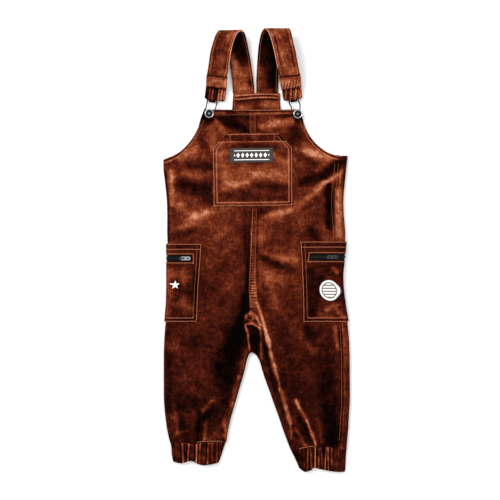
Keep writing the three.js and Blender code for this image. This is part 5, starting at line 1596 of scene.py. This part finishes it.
def buckle(side):
    x, y = BUTTONS[side]
    z = button_base(side) + 2.3
    bar_z, bar_out = END["middle"] - END["bend"], END_LENGTH[side] - END["bend"]
    shift = TAB_COLUMN[side] * (2 * END_HALF[side] / END_PARTS)

    def bar(along, out=0.0, rise=0.0):
        return end_place(side, np.array(shift + along), bar_out + out, bar_z + rise)

    points = [
        bar(-BAR_HALF + BAR_ROUND),
        bar(0),
        bar(BAR_HALF - BAR_ROUND),
        bar(BAR_HALF, BAR_ROUND),
        bar(BAR_HALF, ARM_OUT, ARM_RISE),
        *[np.array([x + dx, y + dy, z + dz]) for dx, dy, dz in WIRE_BENDS[side]],
        bar(-BAR_HALF, ARM_OUT, ARM_RISE),
        bar(-BAR_HALF, BAR_ROUND),
    ]
    points, faces = wire_loop(points, WIRE, 120, 12)
    obj = piece(f"buckle_loop_{side}", points, faces, gunmetal)
    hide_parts(f"buckle_wire_{side}")


button_black = plain("button_black", (0.004, 0.004, 0.004, 1), 0.6, specular=0.15)
dull_steel = worn_metal("dull_steel", (0.20, 0.20, 0.20, 1), (0.08, 0.08, 0.08, 1), 0.35)
nickel = worn_metal("nickel", (0.72, 0.72, 0.71, 1), (0.45, 0.45, 0.45, 1), 0.22)


def turned(name, profile, centre, material, around=40):
    """A round piece turned from a profile of (radius, height)."""
    angle = np.arange(around) * 2 * math.pi / around
    rings = [np.stack([r * np.cos(angle), r * np.sin(angle), np.full(around, z)], -1) for r, z in profile]
    count = len(profile)
    caps = [list(range(around))[::-1], [(count - 1) * around + k for k in range(around)]]
    faces = ring_faces(count, around) + caps
    obj = piece(name, np.concatenate(rings) + np.array(centre), faces, material)
    obj.data.polygons.foreach_set("use_smooth", [len(face) == 4 for face in faces])
    return obj


RING_PROFILE = [
    (4.2, 0.0), (4.2, 0.8), (2.3, 1.0), (2.3, 4.2), (6.2, 4.2), (6.8, 4.6), (6.9, 5.2), (6.8, 6.1),
    (6.55, 6.6), (6.2, 6.75), (5.8, 6.6), (5.5, 6.1), (5.4, 5.6),
]


def button(side):
    x, y = BUTTONS[side]
    centre = (x, y, button_base(side))
    ring = turned(f"button_ring_{side}", RING_PROFILE, centre, nickel)
    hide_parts(f"button_{side}")
    recess = [(5.55, 5.3), (5.55, 5.75), (3.4, 5.85), (2.3, 6.0)]
    turned(f"button_recess_{side}", recess, centre, button_black)
    stud = [(1.7, 5.8), (1.7, 6.3), (1.5, 6.5), (0.9, 6.6)]
    turned(f"button_stud_{side}", stud, centre, dull_steel, 24)


for side in (LEFT, RIGHT):
    buckle(side)
    button(side)

# Sewing.
# Seams and hems are top-stitched in stitches about 3 mm long that sink a little into the pile: pale
# orange-pink thread on pockets and hems, rust on seams and straps, and a lighter one along the straps'
# edges. Bars of close stitches hold the corners of the bib pocket.
PALE_THREAD = plain("pale_thread", (0.56, 0.205, 0.105, 1), 0.8, specular=0.1)
EDGE_THREAD = plain("edge_thread", (0.64, 0.31, 0.22, 1), 0.8, specular=0.1)
RUST_THREAD = plain("rust_thread", (0.27, 0.075, 0.030, 1), 0.8, specular=0.1)
PITCH = 3.1
STITCH = (1.15, 0.36, 0.26)  # half of its length, width and thickness


def run_of(points):
    """How far along a line each of its points lies."""
    return np.concatenate([[0], np.cumsum(np.linalg.norm(np.diff(points, axis=0), axis=1))])


def at_run(at, run, values):
    """The values at a line's points, read off at other places along it."""
    return np.stack([np.interp(at, run, column) for column in values.T], -1)


def sewn(name, lines, thread=PALE_THREAD, size=STITCH):
    """Stitches along lines, each of them points and the normals at them."""
    rng = np.random.default_rng(len(name) * 7 + 3)
    pitch = PITCH * size[0] / STITCH[0]
    places = []
    for points, normals in lines:
        run = run_of(points)
        at = np.arange(pitch / 2, run[-1], pitch)
        middle, out = at_run(at, run, points), unit(at_run(at, run, normals))
        ahead = unit(at_run(at + pitch * 0.3, run, points) - at_run(at - pitch * 0.3, run, points))
        for k in range(len(at)):
            across = unit(np.cross(out[k], ahead[k]))
            wander = across * rng.normal(0, 0.12) + out[k] * (rng.normal(0, 0.05) + 0.06)
            along = ahead[k] + across * rng.normal(0, 0.05)
            places.append((middle[k] + wander, along, across, out[k]))
    bars(name, places, size, thread)


def evenly(corners):
    """Places about 1 mm apart along a line through corners, as two arrays."""
    corners = np.asarray(corners, float)
    run = run_of(corners)
    at = np.linspace(0, run[-1], max(3, int(run[-1])))
    return at_run(at, run, corners).T


def top_line(xy, rise=0.1):
    """A line on the top of the garment through places given in plan."""
    return on_top(*evenly(xy), rise)


def inset(xy, distance):
    """A line moved sideways, to its left, in plan."""
    xy = np.asarray(xy, float)
    ahead = unit(np.gradient(xy, axis=0))
    return xy + np.stack([-ahead[:, 1], ahead[:, 0]], -1) * distance


def seam_line(column, y0, y1):
    """One of the two rows beside the centre seam, in plan."""
    y = np.linspace(y0, y1, 60)
    return np.stack([centre_seam(y) + read_off(BAND_SIDES, y, column), y], -1)


RIGHT_LEG_RIDGE = [(0.5, -88), (4.5, -103), (9.5, -117), (14.5, -134), (18.5, -152), (26, -182), (33, -204)]
RIGHT_LEG_RIDGE += [(43, -238), (49, -256), (53, -275), (55, -292)]
front_lines = [
    top_line(seam_line(1, 214, 184)),
    top_line(seam_line(2, 214, 184)),
    top_line(seam_line(1, 64, -84)),
    top_line(seam_line(2, 64, -86)),
    top_line(RIGHT_LEG_RIDGE),
    top_line([(-80, 209.5), (-40, 209.6), (-6, 209.8)]),
    top_line([(-6, 210.2), (30, 210.8), (66, 211.5)]),
    top_line(inset(ARMHOLE[LEFT], -5.2)[1:-1]),
    top_line(inset(ARMHOLE[RIGHT], -5.2)[1:-1]),
]
sewn("stitches_front", front_lines, RUST_THREAD)
upper_y, lower_y = np.linspace(134, 14, 60), np.linspace(-116, -296, 90)
side_lines = [
    on_skin(RIGHT, upper_y, SEAM_RING[RIGHT] + 3.0, 0.1),
    on_skin(RIGHT, upper_y, SEAM_RING[RIGHT] + 8.4, 0.1),
    on_skin(LEFT, upper_y, 0.5, 0.1),
    on_skin(RIGHT, lower_y, SEAM_RING[RIGHT] + 3.0, 0.1),
    on_skin(LEFT, lower_y, 0.5, 0.1),
]
sewn("stitches_side_seams", side_lines, RUST_THREAD)


def pocket_line(side, corners):
    """A line on a cargo pocket through corners of (ring, y)."""
    ring, y = evenly(corners)
    return on_skin(side, y, ring, np.where(ring < 0, 1.9, 2.4))


for side in (LEFT, RIGHT):
    under, (slot_under, slot_over) = pocket_under(side), slot_rings(side)
    middle, top = SLOT_MIDDLE[side], POCKET_TOP[side]
    lines, inner_lines = [], []
    for off in (1.3, 6.4):
        foot = POCKET_FOOT + off
        y = np.linspace(top - 0.6 - off * 0.6, foot, 12)
        inside = pocket_line(side, np.stack([pocket_over(side, y) - off, y], -1))
        (lines if off < 5 else inner_lines).append(inside)
        lines.append(pocket_line(side, [(float(pocket_over(side, foot)) - off, foot), (under + off, foot)]))
        lines.append(pocket_line(side, [(under + off, foot), (under + off, top - 0.6 - off * 0.6)]))
    for level in (top - 1.4, top - 9.0):
        lines.append(pocket_line(side, [(under + 1, level), (float(pocket_over(side, level)) - 1, level)]))
    low, high, foot, top = slot_under - 2.2, slot_over + 2.2, middle - 7.0, middle + 7.0
    box = [(low, top), (high, top), (high, foot), (low, foot), (low, top)]
    lines += [pocket_line(side, box[k : k + 2]) for k in range(4)]
    sewn(f"stitches_cargo_{side}", lines)
    sewn(f"stitches_cargo_inner_{side}", inner_lines, RUST_THREAD)


def bib_line(corners, rise=2.5):
    """A line on the bib pocket through corners of (along, height)."""
    return on_top(*pocket_place(*evenly(corners)), rise)


half, tall = POCKET["width"] / 2, POCKET["height"]
cut_x, cut_y = POCKET["corner"]
pocket_lines = []
for off in (1.5, 6.0):
    shoulder, edge = tall - cut_y - off * 0.45, half - off
    corner_x, corner_y = half - cut_x - off * 0.3, tall - 1.2 - off * 0.6
    pocket_lines.append(bib_line([(-corner_x, corner_y), (-edge, shoulder), (-edge, off)]))
    pocket_lines.append(bib_line([(-edge, off), (edge, off)]))
    pocket_lines.append(bib_line([(edge, off), (edge, shoulder), (corner_x, corner_y)]))
pocket_lines.append(bib_line([(-half + cut_x + 1, tall - 1.3), (half - cut_x - 1, tall - 1.3)]))
pocket_lines.append(bib_line([(-half + cut_x * 0.45, tall - 12.4), (half - cut_x * 0.45, tall - 12.4)]))
sewn("stitches_bib_pocket", pocket_lines)
tacks = []
for at in (-34.5, 34.5):
    for k in range(5):
        height = tall - 2.6 - 2.1 * k
        points, normals = bib_line([(at - 2.6, height), (at + 2.6, height)], 2.7)
        ahead = unit(points[-1] - points[0])
        tacks.append((points[len(points) // 2], ahead, np.cross(normals[0], ahead), normals[0]))
bars("bib_pocket_tacks", tacks, (1.9, 0.3, 0.24), RUST_THREAD)

BAND_LINES = [
    # the two upper rows rise a little towards their middles
    [(-33.5, 239.0), (-15.0, 241.0), (0.0, 242.2), (16.0, 242.2), (31.5, 241.4)],
    [(-32.0, 232.8), (-15.0, 235.0), (-2.0, 236.8), (14.0, 237.4), (30.5, 237.2)],
]
BAND_TOP = 2.75  # height of the band's upper surface


def band_line(x, y):
    """A line on the band of the upper back, which lies level."""
    x, y = np.broadcast_arrays(x, y)
    return np.stack([x, y, np.full(len(x), BAND_TOP)], -1), np.tile([0, 0, 1.0], (len(x), 1))


band_lines = []
for row in BAND_LINES:
    x = np.linspace(row[0][0], row[-1][0], 60)
    band_lines.append(band_line(x, read_off(row, x)))
sewn("stitches_back_band", band_lines)
band_ends = [band_line(x, np.linspace(240, 219, 20)) for x in (-34.2, 34.4)]
sewn("stitches_back_band_ends", band_ends, RUST_THREAD)

x = np.linspace(-36, 63, 60)
sewn("stitches_bib_edge", [top_line(np.stack([x, 216.9 + 0 * x], -1))])

for side in (LEFT, RIGHT):
    lines = []
    for u in (-0.83, 0.83):
        t = np.linspace(0.03, 0.49, 90)
        at, normal = strap_place(side, t, u, STRAP_CLOTH / 2 + 0.1)
        lines.append((at, normal))
        t = np.linspace(0.51, 0.91, 110)
        at, normal = strap_place(side, t, u, -STRAP_CLOTH / 2 - 0.1)
        lines.append((at, -normal))
    for t0 in (0.928, 0.996):
        u = np.linspace(-0.95, 0.95, 30)
        at, normal = strap_place(side, t0, u, -STRAP_CLOTH / 2 - 2.0)
        lines.append((at, -normal))
    sewn(f"stitches_strap_{side}", lines, RUST_THREAD)
    edge_lines = []
    for start in (0.505, 0.5146):
        t = np.linspace(start, 0.86, 90)
        at, normal = strap_place(side, t, 0.965 * INWARD[side], -STRAP_CLOTH / 2 - 0.05)
        edge_lines.append((at, -normal))
    sewn(f"stitches_strap_edge_{side}", edge_lines, EDGE_THREAD, (1.5, 0.42, 0.26))

for side, low, high in ((LEFT, -92, -54), (RIGHT, 66, 92)):
    x = np.linspace(low, high, 80)
    sewn(f"stitches_hem_{side}", [top_line(np.stack([x, HEM_LINE[side](x) + 1.6], -1))])

# Printed figures.
# A pale round badge is printed near the side of the right pocket, and a small star on the left one. Both
# are plain figures of this garment's own.
PRINT_PALE = (0.72, 0.70, 0.67, 1)
PRINT_GREY = (0.115, 0.10, 0.095, 1)
PRINT_FILM = 0.12


def printed(name, star):
    n = Nodes(name)
    uv = n.add("ShaderNodeUVMap", {"uv_map": "wales"}).outputs["UV"]
    place = n.add("ShaderNodeSeparateXYZ", Vector=uv)
    u, v = place.outputs["X"], place.outputs["Y"]
    figure = 1.0
    if not star:
        radius = n.math("POWER", n.math("ADD", n.math("POWER", u, 2.0), n.math("POWER", v, 2.0)), 0.5)
        rim = n.math("COMPARE", radius, 0.86)
        rim.node.inputs[2].default_value = 0.08
        bands = n.math("LESS_THAN", n.math("PINGPONG", n.math("ADD", v, 3.02), 0.14), 0.075)
        disc = n.math("LESS_THAN", radius, 0.66)
        figure = n.math("MAXIMUM", rim, n.math("MULTIPLY", bands, disc))
    return n.finish(Base_Color=n.mix(figure, PRINT_GREY, PRINT_PALE), Roughness=0.6)


def print_patch(name, side, middle, size, star=False):
    """A printed figure on a cargo pocket, round the middle (ring, y), with half sizes in mm."""
    share, angle = np.meshgrid(np.linspace(0.02, 1, 14), np.linspace(0, 2 * math.pi, 81)[:-1], indexing="ij")
    from_tip = np.abs((angle + math.pi / 5 - math.pi / 2) % (2 * math.pi / 5) - math.pi / 5)
    notch, fifth = 0.42, math.pi / 5
    edge = notch * math.sin(fifth) / (np.sin(from_tip) + notch * np.sin(fifth - from_tip))
    reach = share * (edge if star else 1.0)
    u, v = reach * np.cos(angle), reach * np.sin(angle)
    ring, y = middle[0] + u * size[0], middle[1] + v * size[1]
    x = skin(side, y, ring)[0][..., 0]
    fold, _ = creased(x, y, POCKET_CREASES[side])
    at, _ = on_skin(side, y, ring, 2.42 + fold + 0.25 * ripple(x, y, 21, 24))
    rows, columns = share.shape
    j, i = np.meshgrid(np.arange(rows - 1), np.arange(columns), indexing="ij")
    right = (i + 1) % columns
    quad = [j * columns + i, (j + 1) * columns + i, (j + 1) * columns + right, j * columns + right]
    faces = np.stack([q.ravel() for q in (quad if side == LEFT else quad[::-1])], -1)
    centre = list(range(columns))
    faces = faces.tolist() + [centre if side == LEFT else centre[::-1]]
    obj = piece(name, at, faces, printed(name, star), wales=np.stack([u, v], -1))
    wall(obj, PRINT_FILM, offset=1.0)


print_patch("print_badge", RIGHT, (21.0, -62.5), (15.5, 16.5))
print_patch("print_star", LEFT, (12.0, -54.0), (7.0, 7.0), star=True)

# Setting.
# The garment lies on a plain white surface under soft even light, brighter from the upper left, and is
# seen from straight above.
VIEW_WIDTH = 0.775
LENS = 100.0
SENSOR = 36.0
VIEW_MIDDLE = (-0.01028, -0.00039)
VIEW_LEVEL = 0.008  # the height at which the picture is as wide as that


def surface():
    mesh = bpy.data.meshes.new("floor")
    reach = 3.0
    corners = [(-reach, -reach, 0), (reach, -reach, 0), (reach, reach, 0), (-reach, reach, 0)]
    mesh.from_pydata(corners, [], [(0, 1, 2, 3)])
    mesh.materials.append(plain("surface", (0.86, 0.86, 0.86, 1), 0.9, specular=0.1))
    obj = bpy.data.objects.new("floor", mesh)
    bpy.context.scene.collection.objects.link(obj)


surface()


def soft_light(name, place, size, power, color=(1.0, 1.0, 1.0)):
    data = bpy.data.lights.new(name, "AREA")
    data.shape = "DISK"
    data.size = size
    data.energy = power
    data.color = color
    obj = bpy.data.objects.new(name, data)
    obj.location = place
    obj.rotation_euler = (-Vector(place)).to_track_quat("-Z", "Y").to_euler()
    bpy.context.scene.collection.objects.link(obj)


soft_light("key", (-1.0, 0.8, 1.5), 1.1, 30.0, (1.0, 0.98, 0.95))
soft_light("fill", (1.5, -0.5, 1.6), 1.6, 16.0, (0.96, 0.98, 1.0))
world = bpy.data.worlds.new("room")
world.use_nodes = True
background = world.node_tree.nodes["Background"]
background.inputs["Color"].default_value = (1.0, 1.0, 1.0, 1.0)
background.inputs["Strength"].default_value = 0.95
bpy.context.scene.world = world
bpy.context.scene.view_settings.view_transform = "Standard"

camera = bpy.data.objects.new("camera", bpy.data.cameras.new("camera"))
camera.data.lens = LENS
camera.data.sensor_width = SENSOR
camera.location = (*VIEW_MIDDLE, VIEW_WIDTH * LENS / SENSOR + VIEW_LEVEL)
camera.rotation_euler = (0, 0, 0)
bpy.context.scene.collection.objects.link(camera)
bpy.context.scene.camera = camera
